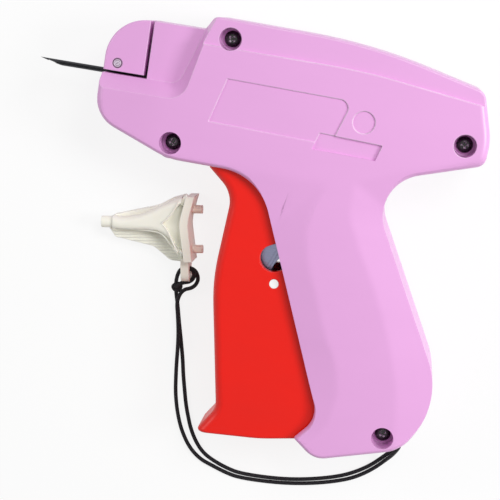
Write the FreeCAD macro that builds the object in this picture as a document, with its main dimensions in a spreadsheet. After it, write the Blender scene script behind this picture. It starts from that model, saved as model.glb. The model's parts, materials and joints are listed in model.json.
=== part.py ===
"""Garment tag attacher: a pistol-shaped tool that drives plastic fasteners through a hollow needle.

The tool lies on its right side.  +Z points out of the left side, +Y to the top of the tool and
-X to the needle's tip.  The origin is on the resting face, under the axle of the rocker lever.
All lengths are in millimetres and all angles in degrees.
"""
import FreeCAD, Part
import math
import os
import re

import Sketcher
from FreeCAD import Placement, Rotation, Vector

doc = FreeCAD.newDocument("tag_attacher")

# ---------------------------------------------------------------- sizes

SIZES = {
    # the casing, seen from the side; heights are above the lever axle, reaches are to its side
    "casing_width": 30, "wall": 2.4, "rim_round": 2.5, "running_gap": 0.3, "shaft_gap": 0.05,
    "needle_height": 48, "nose_reach": 83.3, "nose_top": 67.5, "nose_round": 14,
    "chin_height": 32.8, "chin_round": 11, "belly_reach": 56.3, "belly_height": 22.6, "belly_round": 25,
    "hump_reach": 50.5, "hump_rise": 4.9, "hump_slope": 3.3, "hump_round": 3,
    "back_drop": 0.9, "tail_fall": 10.4, "crown_reach": 5, "crown_round": 200,
    "tail_reach": 49.8, "tail_slope": 4.6, "tail_bend_height": 46.5, "tail_low": 38, "tail_round": 4,
    "neck_reach": 12.7, "neck_height": 26, "neck_round": 14,
    "heel_reach": 49.9, "heel_depth": 43.6, "heel_round": 28,
    "butt_reach": 39.2, "butt_depth": 63.6, "butt_round": 14, "toe_reach": 10.2, "grip_depth": 72.6,
    "lip_reach": 1.8, "lip_depth": 66.2, "lip_round": 8,
    "notch_reach": 8.95, "notch_depth": 57.7, "notch_round": 9,
    "throat_reach": 24.3, "throat_height": 22.4, "throat_round": 19.5,
    "band_depth": 1.0, "band_drop": 9.6, "panel_depth": 0.5, "panel_round": 3, "dial_radius": 3.8,
    "facet_depth": 1.8, "facet_lean": 80,
    # the nose
    "recess_depth": 5.5, "recess_edge_drop": 5, "recess_floor_reach": 53.8, "recess_lean": 5,
    "slot_reach": 68.5, "slot_width": 1.3, "slot_depth": 5, "split_width": 1, "cheek_round": 0.8,
    "bulkhead_reach": 44.8, "bar_length": 9, "bar_radius": 0.55,
    # screws
    "screw_head_radius": 2.8, "screw_head_height": 2.2, "screw_radius": 1.45, "screw_length": 17,
    "screw_depth": 7.6, "counterbore_radius": 3.8, "post_wall": 1.6,
    "front_screw_x": -55.8, "front_screw_y": 28.2, "top_screw_x": -40.9, "top_screw_y": 65.8,
    "rear_screw_x": 41.8, "rear_screw_y": 43.6, "grip_screw_x": 32.1, "grip_screw_y": -60,
    # levers and axles
    "lever_axle_radius": 2.5, "lever_boss_radius": 4.2, "trigger_axle_radius": 2, "axle_seat": 1,
    "hinge_x": 13, "hinge_y": -60, "squeeze_angle": 12.5,
    "drive_pin_x": -13.6, "drive_pin_y": -14.1, "drive_pin_radius": 1.6,
    "ejector_stroke": 39, "slide_pin_radius": 2,
    "lever_width": 14, "sheet": 1.6, "lever_neck_width": 8, "lever_head_width": 10, "slot_play": 0.45,
    "bead_height": 0.4, "bead_width": 1,
    # the trigger
    "trigger_width": 22, "trigger_wall": 2.5, "trigger_front_wall": 3, "trigger_round": 3.2,
    "trigger_reach": 35.1, "trigger_bow_depth": 17, "trigger_top_reach": 33, "trigger_top": 14,
    "toe_neck_reach": 27, "toe_neck_depth": 62.2, "toe_tip_reach": 33.2, "toe_tip_depth": 71.6,
    "window_angle": 15, "window_gap": 0.5, "eye_radius": 5,
    "coil_radius": 3.6, "coil_wire_radius": 0.6, "coil_turns": 5, "coil_leg": 42,
    # the slide and the needle
    "slide_front": 8.5, "slide_height": 13, "slide_width": 10, "bumper_wall": 2.1,
    "rod_radius": 0.55, "rod_grip": 8,
    "needle_radius": 0.95, "needle_bore": 0.65, "needle_reach": 24.6, "needle_slit": 0.7, "needle_bevel": 9.5,
    "base_length": 31, "base_height": 7.6, "base_width": 9, "collar_radius": 1.5, "collar_length": 1.2,
    "lock_pin_radius": 1.7, "lock_x": -78.6, "lock_y": 51.6, "lock_arm": 6, "lock_arm_height": 3.2,
    "knife_thickness": 0.8, "knife_height": 8, "knife_width": 3,
    # the feed
    "feed_teeth": 24, "feed_radius": 5, "tooth_height": 1.1, "feed_width": 3.5,
    "feed_shaft_radius": 1.5, "knob_radius": 6.5, "knob_height": 3.8, "knob_grooves": 20,
    "pawl_arm": 5.6, "pawl_pin_radius": 0.8, "leaf_thickness": 0.4,
    # the needle's cap
    "cap_x": -80, "cap_y": -6.5, "cap_turn": 9, "cap_length": 30, "cap_half_width": 12,
    "cap_height": 12, "nozzle_radius": 2.1, "nozzle_length": 4.2, "flange": 3,
    "peg_radius": 1.5, "peg_length": 3.6, "tab_length": 8, "tab_hole_radius": 1.5,
    # the lanyard
    "cord_radius": 0.72, "knot_radius": 2.3, "butt_hole_half": 6, "butt_hole_radius": 1.9,
}

sheet = doc.addObject("Spreadsheet::Sheet", "sizes")
for row, (alias, number) in enumerate(SIZES.items(), 1):
    sheet.set("A%d" % row, alias)
    sheet.set("B%d" % row, str(number))
    sheet.setAlias("B%d" % row, alias)
doc.recompute()


def formula(term):
    """A size formula such as 'wall * 2', with each size named in full."""
    return re.sub(r"[a-z_]+", lambda found: "sizes." + found[0] if found[0] in SIZES else found[0], term)


def value(term):
    """The number that a size formula gives; a plain number stays itself."""
    return float(sheet.evalExpression(formula(term))) if isinstance(term, str) else float(term)


def bind(thing, **terms):
    """Binds properties of a document object to size formulas."""
    for name, term in terms.items():
        setattr(thing, name, value(term))
        if isinstance(term, str):
            thing.setExpression(name, formula(term))


# ---------------------------------------------------------------- sketches and features

def new_body(name):
    part = doc.addObject("PartDesign::Body", name)
    part.Label = name
    return part


def new_sketch(part, name, level, plane="XY_Plane"):
    """An empty sketch on one of the body's planes, raised to a level."""
    drawing = part.newObject("Sketcher::SketchObject", part.Name + "_" + name)
    base = [plane_ for plane_ in part.Origin.OriginFeatures if plane_.Role == plane]
    drawing.AttachmentSupport = [(base[0], "")]
    drawing.MapMode = "FlatFace"
    drawing.AttachmentOffset = Placement(Vector(0, 0, value(level)), Rotation())
    if isinstance(level, str):
        drawing.setExpression("AttachmentOffset.Base.z", formula(level))
    return drawing


def hold(drawing, rules, terms, kind, places, term):
    """Adds one dimension to a list of constraints, and remembers its formula."""
    number = value(term)
    if kind != "Radius" and abs(number) < 1e-9:
        axis = -2 if kind == "DistanceX" else -1
        rules.append(Sketcher.Constraint("PointOnObject", *places, axis))
        return
    start = () if kind == "Radius" else (-1, 1)
    rules.append(Sketcher.Constraint(kind, *start, *places, number))
    if isinstance(term, str):
        terms.append((len(rules) - 1, formula(term)))


def settle(drawing, rules, terms):
    """Gives a sketch its constraints and their formulas."""
    drawing.addConstraint(rules)
    for index, term in terms:
        drawing.setExpression("Constraints[%d]" % index, term)
    return drawing


def outline(part, name, level, corners, plane="XY_Plane"):
    """A closed outline through corners (x, y, radius), with a tangent arc at each rounded corner."""
    drawing = new_sketch(part, name, level, plane)
    points = [Vector(value(x), value(y), 0) for x, y, radius in corners]
    count = len(points)
    starts, ends, arcs = [None] * count, [None] * count, [None] * count
    for index, point in enumerate(points):
        before = (points[index - 1] - point).normalize()
        after = (points[(index + 1) % count] - point).normalize()
        radius = value(corners[index][2])
        half = before.getAngle(after) / 2
        reach = radius / math.tan(half) if radius else 0
        ends[index - 1] = point + before * reach
        starts[index] = point + after * reach
        if radius:
            centre = point + (before + after).normalize() * (radius / math.sin(half))
            arcs[index] = (centre, radius, before.cross(after).z < 0)
    lines = [drawing.addGeometry(Part.LineSegment(starts[i], ends[i]), False) for i in range(count)]
    rules, terms = [], []
    for index, point in enumerate(points):
        x, y, radius = corners[index]
        if arcs[index]:
            centre, size, left = arcs[index]
            first, last = ends[index - 1] - centre, starts[index] - centre
            if not left:
                first, last = last, first
            begin = math.atan2(first.y, first.x)
            turn = (math.atan2(last.y, last.x) - begin) % (2 * math.pi)
            circle = Part.Circle(centre, Vector(0, 0, 1), size)
            arc = drawing.addGeometry(Part.ArcOfCircle(circle, begin, begin + turn), False)
            near = 1 if left else 2
            rules.append(Sketcher.Constraint("Tangent", lines[index - 1], 2, arc, near))
            rules.append(Sketcher.Constraint("Tangent", arc, 3 - near, lines[index], 1))
            hold(drawing, rules, terms, "Radius", (arc,), radius)
            corner = drawing.addGeometry(Part.Point(point), True)
            rules.append(Sketcher.Constraint("PointOnObject", corner, 1, lines[index - 1]))
            rules.append(Sketcher.Constraint("PointOnObject", corner, 1, lines[index]))
            place = (corner, 1)
        else:
            rules.append(Sketcher.Constraint("Coincident", lines[index - 1], 2, lines[index], 1))
            place = (lines[index], 1)
        hold(drawing, rules, terms, "DistanceX", place, x)
        hold(drawing, rules, terms, "DistanceY", place, y)
    return settle(drawing, rules, terms)


def block(part, name, level, left, right, low, high):
    """A rectangular outline."""
    return outline(part, name, level, [(left, low, 0), (right, low, 0), (right, high, 0), (left, high, 0)])


def circles(part, name, level, places, radius, plane="XY_Plane"):
    """A sketch of equal circles, each at (x, y)."""
    drawing = new_sketch(part, name, level, plane)
    rules, terms = [], []
    for x, y in places:
        circle = Part.Circle(Vector(value(x), value(y), 0), Vector(0, 0, 1), value(radius))
        ring = drawing.addGeometry(circle, False)
        hold(drawing, rules, terms, "Radius", (ring,), radius)
        hold(drawing, rules, terms, "DistanceX", (ring, 3), x)
        hold(drawing, rules, terms, "DistanceY", (ring, 3), y)
    return settle(drawing, rules, terms)


def slot(part, name, level, path, radius, plane="XY_Plane"):
    """A sketch of a slot: a round-ended strip along the line or arc through the path's points."""
    points = [Vector(x, y, 0) for x, y in path]
    radius = value(radius)
    drawing = new_sketch(part, name, level, plane)
    up = Vector(0, 0, 1)

    def add_arc(centre, size, start, turn):
        drawing.addGeometry(Part.ArcOfCircle(Part.Circle(centre, up, size), start, start + turn), False)

    if len(points) == 2:
        along = (points[1] - points[0]).normalize()
        beside = up.cross(along) * radius
        heading = math.atan2(along.y, along.x)
        for side in (beside, -beside):
            drawing.addGeometry(Part.LineSegment(points[0] + side, points[1] + side), False)
        add_arc(points[1], radius, heading - math.pi / 2, math.pi)
        add_arc(points[0], radius, heading + math.pi / 2, math.pi)
    else:
        bow = Part.Arc(*points).toShape().Curve
        centre, size = bow.Center, bow.Radius
        first, middle, last = [math.atan2(p.y - centre.y, p.x - centre.x) for p in points]
        if (middle - first) % (2 * math.pi) > (last - first) % (2 * math.pi):
            first, last = last, first
        turn = (last - first) % (2 * math.pi)
        ends = [centre + Vector(math.cos(angle), math.sin(angle), 0) * size for angle in (first, last)]
        for wide in (size + radius, size - radius):
            add_arc(centre, wide, first, turn)
        add_arc(ends[1], radius, last, math.pi)
        add_arc(ends[0], radius, first + math.pi, math.pi)
    drawing.addConstraint([Sketcher.Constraint("Block", index) for index in range(drawing.GeometryCount)])
    return drawing


def grow(part, kind, drawing, length, up):
    """A Pad or a Pocket of a sketch, along +Z of the sketch when up."""
    feature = part.newObject("PartDesign::" + kind, drawing.Name + "_" + kind.lower())
    feature.Profile = drawing
    bind(feature, Length=length)
    feature.Reversed = up if kind == "Pocket" else not up
    doc.recompute()
    return feature


def pad(part, drawing, length, up=True):
    return grow(part, "Pad", drawing, length, up)


def pocket(part, drawing, length, up=False):
    before = part.Shape.Volume
    feature = grow(part, "Pocket", drawing, length, up)
    if before - part.Shape.Volume < 1e-3:
        raise RuntimeError(feature.Name + " cuts nothing")
    return feature


def edges_where(shape, test):
    """Names of the edges whose every vertex and middle passes a test."""
    names = []
    for index, edge in enumerate(shape.Edges, 1):
        middle = edge.valueAt(sum(edge.ParameterRange) / 2)
        if all(test(point) for point in [middle] + [vertex.Point for vertex in edge.Vertexes]):
            names.append("Edge%d" % index)
    return names


def round_edges(part, test, radius, kind="Fillet"):
    """Rounds or bevels the edges of the body's last feature that pass a test."""
    base = part.Tip
    feature = part.newObject("PartDesign::" + kind, part.Name + "_" + kind.lower())
    feature.Base = (base, edges_where(base.Shape, test))
    bind(feature, **{"Radius" if kind == "Fillet" else "Size": radius})
    doc.recompute()
    return feature


def put(part, x=0, y=0, z=0, turn=0):
    """Places a finished body, turned about +Z."""
    part.Placement = Placement(Vector(value(x), value(y), value(z)), Rotation(Vector(0, 0, 1), turn))
    for axis, term in zip("xyz", (x, y, z)):
        if isinstance(term, str):
            part.setExpression("Placement.Base." + axis, formula(term))
    return part


def turned(point, angle, centre=(0, 0)):
    """A point turned about a centre, counterclockwise."""
    c, s = math.cos(math.radians(angle)), math.sin(math.radians(angle))
    x, y = point[0] - centre[0], point[1] - centre[1]
    return centre[0] + x * c - y * s, centre[1] + x * s + y * c


# ---------------------------------------------------------------- how the linkage moves

HINGE = (value("hinge_x"), value("hinge_y"))
DRIVE_PIN = (value("drive_pin_x"), value("drive_pin_y"))
SQUEEZE = value("squeeze_angle")
ARM = value("needle_height")
STROKE = value("ejector_stroke")
# the lever leans back at rest, and as far forward when squeezed
LEAN = math.degrees(math.atan(STROKE / 2 / ARM))
SWING = 2 * LEAN


def pin_in_lever(share):
    """The drive pin seen from the upright lever, at a share of the squeeze."""
    place = turned(DRIVE_PIN, -SQUEEZE * share, HINGE)
    return turned(place, LEAN - SWING * share)


# ---------------------------------------------------------------- the casing

MIDDLE = "casing_width / 2"
AXLE = (0, 0)
HINGE_AXLE = ("hinge_x", "hinge_y")
DRIVE = ("drive_pin_x", "drive_pin_y")
SLIDE_PIN = ("ejector_stroke / 2", "needle_height")
SLIDE_REAR = "rear_screw_x - counterbore_radius - post_wall - bumper_wall - running_gap"
LOCK = ("lock_x", "lock_y")
FEED = ("-slot_reach + feed_radius + tooth_height",
        "needle_height + base_height / 2 + running_gap + feed_radius + tooth_height")
PAWL = (FEED[0] + " + feed_radius + tooth_height + running_gap + pawl_pin_radius * 2", FEED[1] + " + pawl_arm")
KNIFE_LOW = "needle_height + base_height / 2 + shaft_gap"
SPLIT_DROP = "shaft_gap * 2"
BUTT_HOLE = (39.5, -62.2)
BUTT_TURN = -86

CASING = [
    ("-nose_reach", "chin_height", "chin_round"),
    ("-nose_reach", "nose_top", "nose_round"),
    ("-hump_reach", "nose_top", 1.2),
    ("-hump_reach + hump_slope", "nose_top + hump_rise", "hump_round"),
    ("crown_reach", "nose_top + hump_rise - back_drop", "crown_round"),
    ("tail_reach - tail_slope", "nose_top + hump_rise - tail_fall", "tail_round"),
    ("tail_reach", "tail_bend_height", "tail_round * 5"),
    ("tail_reach - 0.4", "tail_low", "tail_round * 0.9"),
    ("neck_reach", "neck_height", "neck_round"),
    ("heel_reach", "-heel_depth", "heel_round"),
    ("butt_reach", "-butt_depth", "butt_round"),
    ("toe_reach", "-grip_depth", "lip_round"),
    ("lip_reach", "-lip_depth", 0.8),
    ("notch_reach", "-notch_depth", "notch_round"),
    ("-throat_reach", "throat_height", "throat_round"),
    ("-belly_reach", "belly_height", "belly_round"),
]

SCREWS = [(name + "_screw_x", name + "_screw_y") for name in ("front", "top", "rear", "grip")]


def half_shell(name, near):
    """One half of the casing, down to its hollow, open mouth and bare recesses.

    near is True for the left half, whose outer face is the upper one.
    """
    part = new_body(name)
    outer = "casing_width" if near else 0
    drawing = outline(part, "outline", MIDDLE, CASING)
    pad(part, drawing, "casing_width / 2", near)
    face = value(outer)
    round_edges(part, lambda p: abs(p.z - face) < 1e-6, "rim_round")

    hollow = part.newObject("PartDesign::SubShapeBinder", name + "_inset")
    hollow.Support = [(drawing, "")]
    hollow.OffsetJoinType = "Arcs"
    hollow.Offset = -value("wall")
    hollow.setExpression("Offset", formula("-wall"))
    doc.recompute()
    pocket(part, hollow, "casing_width / 2 - wall", near)

    nose = outline(part, "nose", MIDDLE, [
        ("-nose_reach + wall / 2", "chin_height + wall / 2", "chin_round"),
        ("-nose_reach + wall / 2", "nose_top - wall / 2", "nose_round - wall / 2"),
        ("-hump_reach + wall", "nose_top - wall / 2", 0),
        ("-bulkhead_reach", "nose_top + hump_rise - wall", 0),
        ("-bulkhead_reach", "belly_height + wall / 2", 0),
        ("-belly_reach", "belly_height + wall / 2", 0)])
    pad(part, nose, "casing_width / 2 - wall / 2", near)

    mouth = outline(part, "mouth", MIDDLE, [
        ("-throat_reach - 17.5", "throat_height - 4", 0),
        ("-throat_reach - 17.5", "throat_height + wall * 1.3", 0),
        ("-throat_reach + throat_round * 0.4", "throat_height + wall * 1.3", 0),
        ("notch_reach + wall * 3", "-notch_depth", 0),
        ("notch_reach + 5", "-lip_depth + 0.1", 0),
        ("lip_reach - 8", "-lip_depth - 5", 0),
        ("lip_reach - 20", "-notch_depth", 0)])
    pocket(part, mouth, "casing_width / 2 - wall", near)

    band = outline(part, "band", outer, [
        ("-nose_reach - 5", "nose_top - band_drop + hump_rise", 0),
        ("-hump_reach + 5", "nose_top - band_drop + hump_rise", 0),
        ("crown_reach", "nose_top - band_drop + hump_rise - back_drop / 2", "crown_round"),
        ("tail_reach + 10", "nose_top - band_drop + hump_rise - tail_fall / 2 - 2", 0),
        ("tail_reach + 10", "nose_top + hump_rise + 5", 0),
        ("-nose_reach - 5", "nose_top + hump_rise + 5", 0)])
    pocket(part, band, "band_depth", not near)
    handle_facets(part, near)
    return part


def nose_recess(part, near):
    """The sunk area round the feed slot, with walls that slope down to its floor."""
    face = "casing_width" if near else 0
    floor = "casing_width - recess_depth" if near else "recess_depth"
    edge = "needle_height - recess_edge_drop"
    top = outline(part, "recess_edge", face, [
        ("-nose_reach - 9", edge, 0), ("-recess_floor_reach", edge, 7),
        ("-hump_reach + 1.2", "nose_top - 4", 1), ("-hump_reach + recess_lean", "nose_top + 6", 0),
        ("-nose_reach - 9", "nose_top + 6", 0)])
    low = outline(part, "recess_floor", floor, [
        ("-nose_reach - 9", "needle_height", 0), ("-recess_floor_reach - 3", "needle_height", 4.5),
        ("-hump_reach - 0.9", "nose_top - 4", 1), ("-hump_reach + recess_lean / 2", "nose_top + 6", 0),
        ("-nose_reach - 9", "nose_top + 6", 0)])
    before = part.Shape.Volume
    feature = part.newObject("PartDesign::SubtractiveLoft", part.Name + "_recess")
    feature.Profile = top
    feature.Sections = [low]
    feature.Ruled = True
    doc.recompute()
    if before - part.Shape.Volume < 1:
        raise RuntimeError("the nose recess cuts nothing")


def handle_facets(part, near):
    """The handle's sides slope down from its flat middle, in front and behind."""
    face = "casing_width" if near else 0
    front = outline(part, "front_facet", face, [
        (-36, "throat_height + 0.8", 0), ("-neck_reach", "throat_height + 0.6", 0), (-1.9, 20.9, 0),
        (-5.4, 8, 18), (-3.4, -5.4, 20), (6.9, -27, 0), (14.9, -44.6, 16), (13.6, -57.6, 12), (4, -69, 0),
        (-4, -95, 0), (-60, -95, 0), (-60, 5, 0)])
    rear = outline(part, "rear_facet", face, [
        (70, 34, 0), (34.9, 34.8, 30), (21.4, 31.4, 20), (8.2, 26, 10), (7.4, 13.6, 14), (26.5, -19.5, 60),
        (34.6, -43, 30), (36.4, -60, 0), (44, -80, 0), (95, -80, 0), (95, 34, 0)])
    for name, sketch in (("front", front), ("rear", rear)):
        before = part.Shape.Volume
        facet = grow(part, "Pocket", sketch, "facet_depth", not near)
        bind(facet, TaperAngle="-facet_lean")
        doc.recompute()
        print(part.Name, name, "facet", round(before - part.Shape.Volume, 1))


def screw_seats(part, near):
    """Posts for the four screws: counterbored in the left half, plain in the right one."""
    posts = circles(part, "posts", MIDDLE, SCREWS, "counterbore_radius + post_wall")
    pad(part, posts, "casing_width / 2 - wall", near)
    if near:
        pocket(part, circles(part, "counterbores", "casing_width", SCREWS, "counterbore_radius"), "screw_depth")
        pocket(part, circles(part, "screw_holes", "casing_width", SCREWS, "screw_radius + shaft_gap"),
               "casing_width / 2")
    else:
        depth = "screw_length - (casing_width / 2 - screw_depth) + axle_seat"
        pocket(part, circles(part, "screw_holes", MIDDLE, SCREWS, "screw_radius + shaft_gap"), depth)


def axle_seats(part, near):
    """Bosses that carry the two axles, with blind holes that end in the wall."""
    wall_level = "casing_width - wall" if near else "wall"
    lever = circles(part, "lever_boss", wall_level, [AXLE], "lever_boss_radius")
    pad(part, lever, "(casing_width - lever_width) / 2 - wall - running_gap", not near)
    hinge = circles(part, "hinge_boss", wall_level, [HINGE_AXLE], "lever_boss_radius")
    pad(part, hinge, "(casing_width - trigger_width) / 2 - wall - running_gap", not near)
    depth = "casing_width / 2 - wall + axle_seat"
    pocket(part, circles(part, "lever_bore", MIDDLE, [AXLE], "lever_axle_radius + shaft_gap / 2"), depth, near)
    pocket(part, circles(part, "hinge_bore", MIDDLE, [HINGE_AXLE], "trigger_axle_radius + shaft_gap / 2"),
           depth, near)


def slide_track(part, near):
    """Two ribs that guide an end of the slide's pin."""
    wall_level = "casing_width - wall" if near else "wall"
    for name, side in (("upper", 1), ("lower", -1)):
        low = "needle_height + %d * (slide_pin_radius + running_gap)" % side
        rib = block(part, name + "_rib", wall_level, "-bulkhead_reach + axle_seat", "rear_screw_x - knob_radius",
                    low, low + " + %d * sheet" % side)
        pad(part, rib, "(casing_width - lever_width) / 2 - wall - running_gap", not near)


def rod_way(part, near):
    """The ejector rod's way from the needle's base through the bulkhead."""
    side = "(rod_radius + running_gap)"
    way = block(part, "rod_way", MIDDLE, "-nose_reach + base_length - 1", "-bulkhead_reach + axle_seat",
                "needle_height - " + side, "needle_height + " + side)
    pocket(part, way, side, near)


def butt_hole(part, near):
    """Half of the square hole at the butt, where the lanyard goes in."""
    x, y = BUTT_HOLE
    along = turned((value("butt_hole_half"), 0), BUTT_TURN)
    ends = [(x - along[0], y - along[1]), (x + along[0], y + along[1])]
    hole = slot(part, "butt_hole", MIDDLE, ends, "butt_hole_radius")
    pocket(part, hole, "cord_radius * 2.6", near)


def left_casing():
    part = half_shell("left_casing", True)
    screw_seats(part, True)
    nose_recess(part, True)
    split = "needle_height - " + SPLIT_DROP
    slot_back = "-slot_reach + slot_width / 2"
    cheek_room = block(part, "cheek_room", "casing_width", "-nose_reach - 5", slot_back, split, "nose_top + 5")
    pocket(part, cheek_room, "casing_width / 2")
    axle_seats(part, True)
    slide_track(part, True)
    rod_way(part, True)
    base_room(part, MIDDLE, "base_width / 2 + shaft_gap", True)
    knife_seat = block(part, "knife_seat", MIDDLE, "-slot_reach", slot_back + " + knife_thickness + shaft_gap",
                       KNIFE_LOW, KNIFE_LOW + " + knife_height + shaft_gap * 2")
    pocket(part, knife_seat, "knife_width + shaft_gap", True)
    pocket(part, circles(part, "feed_bore", MIDDLE, [FEED], "feed_shaft_radius + shaft_gap"), "feed_width", True)
    butt_hole(part, True)
    bare_recesses(part)
    return part


def base_room(part, level, depth, up):
    """The room for the needle's base, open to the front."""
    low = "needle_height - base_height / 2 - shaft_gap"
    high = "needle_height + base_height / 2 + shaft_gap"
    room = block(part, "base_room", level, "-nose_reach - 5", "-nose_reach + base_length + shaft_gap", low, high)
    pocket(part, room, depth, up)


def bare_recesses(part):
    """The shallow label panel, name-plate recess and round recess of the left face, all left bare."""
    panel = outline(part, "panel", "casing_width", [
        (-39.8, 52.8, 0.3), (-44.1, 37.6, 0.3), (-6.6, 36.6, 0), (-1.2, 39.6, 0), (2.8, 52.1, "panel_round")])
    pocket(part, panel, "panel_depth")
    plate = outline(part, "plate", "casing_width", [
        (-8.2, 34.2, 0.3), (13.4, 33.8, 0.3), (15.0, 39.2, 0.3), (-6.4, 40.0, 0.3)])
    pocket(part, plate, "panel_depth * 2")
    pocket(part, circles(part, "dial", "casing_width", [(7.6, 45.8)], "dial_radius"), "panel_depth")


def right_casing():
    part = half_shell("right_casing", False)
    screw_seats(part, False)
    nose_recess(part, False)
    slot_front = "-slot_reach - slot_width / 2"
    low = "needle_height - " + SPLIT_DROP + " + split_width"
    cheek = outline(part, "cheek", MIDDLE, [
        ("-nose_reach", low, 0), ("-nose_reach", "nose_top", "nose_round"),
        (slot_front, "nose_top", 0), (slot_front, low, 0)])
    pad(part, cheek, "casing_width / 2 - recess_depth")
    top = value("casing_width - recess_depth")
    round_edges(part, lambda p: abs(p.z - top) < 1e-6 and p.x < value(slot_front) - 1e-3, "cheek_round")
    axle_seats(part, False)
    slide_track(part, False)
    rod_way(part, False)
    base_room(part, "(casing_width + base_width) / 2 + shaft_gap", "base_width + shaft_gap * 2", False)
    feed_slot = block(part, "feed_slot", MIDDLE, slot_front, "-slot_reach + slot_width / 2",
                      "needle_height", "nose_top + 5")
    pocket(part, feed_slot, "slot_depth")
    bar_way = block(part, "bar_way", "casing_width / 2 + bar_radius + shaft_gap", "-slot_reach - bar_length / 2",
                    "-slot_reach + bar_length / 2", "needle_height", "nose_top + 5")
    pocket(part, bar_way, "(bar_radius + shaft_gap) * 2")
    wheel_room = circles(part, "wheel_room", MIDDLE, [FEED], "feed_radius + tooth_height + running_gap")
    pocket(part, wheel_room, "feed_width + running_gap * 2")
    pocket(part, circles(part, "feed_bore", MIDDLE, [FEED], "feed_shaft_radius + shaft_gap"), "casing_width / 2")
    pawl_room(part)
    pocket(part, circles(part, "lock_bore", "casing_width", [LOCK], "lock_pin_radius + shaft_gap"),
           "casing_width")
    butt_hole(part, False)
    return part


def pawl_room(part):
    """The room in which the pawl swings clear of the feed wheel."""
    x, y = PAWL
    back = "%s + pawl_arm * 0.9" % x
    room = block(part, "pawl_room", MIDDLE, x + " - pawl_pin_radius * 3", back, y + " - pawl_arm * 1.35",
                 y + " + pawl_pin_radius * 3")
    pocket(part, room, "feed_width + running_gap * 2")
    pocket(part, circles(part, "pawl_bore", MIDDLE, [(x, y)], "pawl_pin_radius + shaft_gap"), "feed_width * 2")


# ---------------------------------------------------------------- fasteners and axles

def casing_screws():
    part = new_body("casing_screws")
    seat = "casing_width - screw_depth"
    pad(part, circles(part, "heads", seat, SCREWS, "screw_head_radius"), "screw_head_height")
    pad(part, circles(part, "shanks", seat, SCREWS, "screw_radius"), "screw_length", False)


def axle(name, place, radius):
    """A steel pin whose ends sit in the casing's walls."""
    part = new_body(name)
    bottom = "wall - axle_seat + shaft_gap"
    pad(part, circles(part, "round", bottom, [place], radius), "casing_width - 2 * (%s)" % bottom)
    round_edges(part, lambda p: True, "shaft_gap * 8", "Chamfer")


# ---------------------------------------------------------------- the trigger and the levers

def trigger():
    """A hollow moulded trigger: two cheeks and a front wall, hung on the axle in the butt."""
    part = new_body("trigger")
    level = "(casing_width - trigger_width) / 2"
    side = outline(part, "side", level, [
        (-42, "trigger_top + 7.6", 0), ("-trigger_top_reach", "trigger_top", 10), ("-trigger_reach", "-trigger_bow_depth", 70),
        ("-toe_neck_reach", "-toe_neck_depth", 7), ("-toe_tip_reach", "-toe_tip_depth", 0),
        (-10, "-toe_tip_depth + 1.9", 60), ("hinge_x + eye_radius + 0.5", "hinge_y - 4", "eye_radius"),
        ("hinge_x + eye_radius - 0.4", "hinge_y + 4.5", 4), (-13.5, "trigger_top", 0),
        (-22, "trigger_top + 14", 6), (-41, "trigger_top + 12", 0)])
    pad(part, side, "trigger_width")
    faces = [value(level), value(level + " + trigger_width")]
    front = value("-toe_neck_reach") + 4
    round_edges(part, lambda p: min(abs(p.z - face) for face in faces) < 1e-6 and p.x < front and p.y < 22,
                "trigger_round")
    toe = (value("-toe_tip_reach"), value("-toe_tip_depth"))
    round_edges(part, lambda p: math.hypot(p.x - toe[0], p.y - toe[1]) < 1e-3, 1)
    inside = outline(part, "inside", level + " + trigger_wall", [
        (-50, "throat_height + 0.6", 0), (-37.5, "throat_height + 0.6", 0),
        ("-trigger_top_reach + trigger_front_wall", "trigger_top - 0.5", 7),
        ("-trigger_reach + trigger_front_wall", "-trigger_bow_depth", 67),
        ("-toe_neck_reach + trigger_front_wall", "-toe_neck_depth + 1.5", 4),
        (-24, "-toe_tip_depth + 3.7", 1.5), (-9, "-toe_tip_depth + 4.6", 57),
        ("hinge_x - eye_radius", "hinge_y - 4.2", 0), (30, "hinge_y - 4.2", 0), (30, 40, 0), (-50, 40, 0)])
    pocket(part, inside, "trigger_width - trigger_wall * 2", True)
    radius = "lever_boss_radius + window_gap"
    turn = value("window_angle")
    arc = [turned((0, 0), turn * share, HINGE) for share in (1, 0.5, -0.1)]
    pocket(part, slot(part, "window", level, arc, radius), "trigger_width", True)
    pocket(part, circles(part, "pin_hole", level, [DRIVE], "drive_pin_radius + shaft_gap / 2"),
           "trigger_width", True)
    pocket(part, circles(part, "eye", level, [HINGE_AXLE], "trigger_axle_radius + shaft_gap"),
           "trigger_width", True)


def drive_pin():
    """The plastic pin across the trigger that swings the rocker lever."""
    part = new_body("drive_pin")
    pad(part, circles(part, "round", "(casing_width - trigger_width) / 2", [DRIVE], "drive_pin_radius"),
        "trigger_width")


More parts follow.
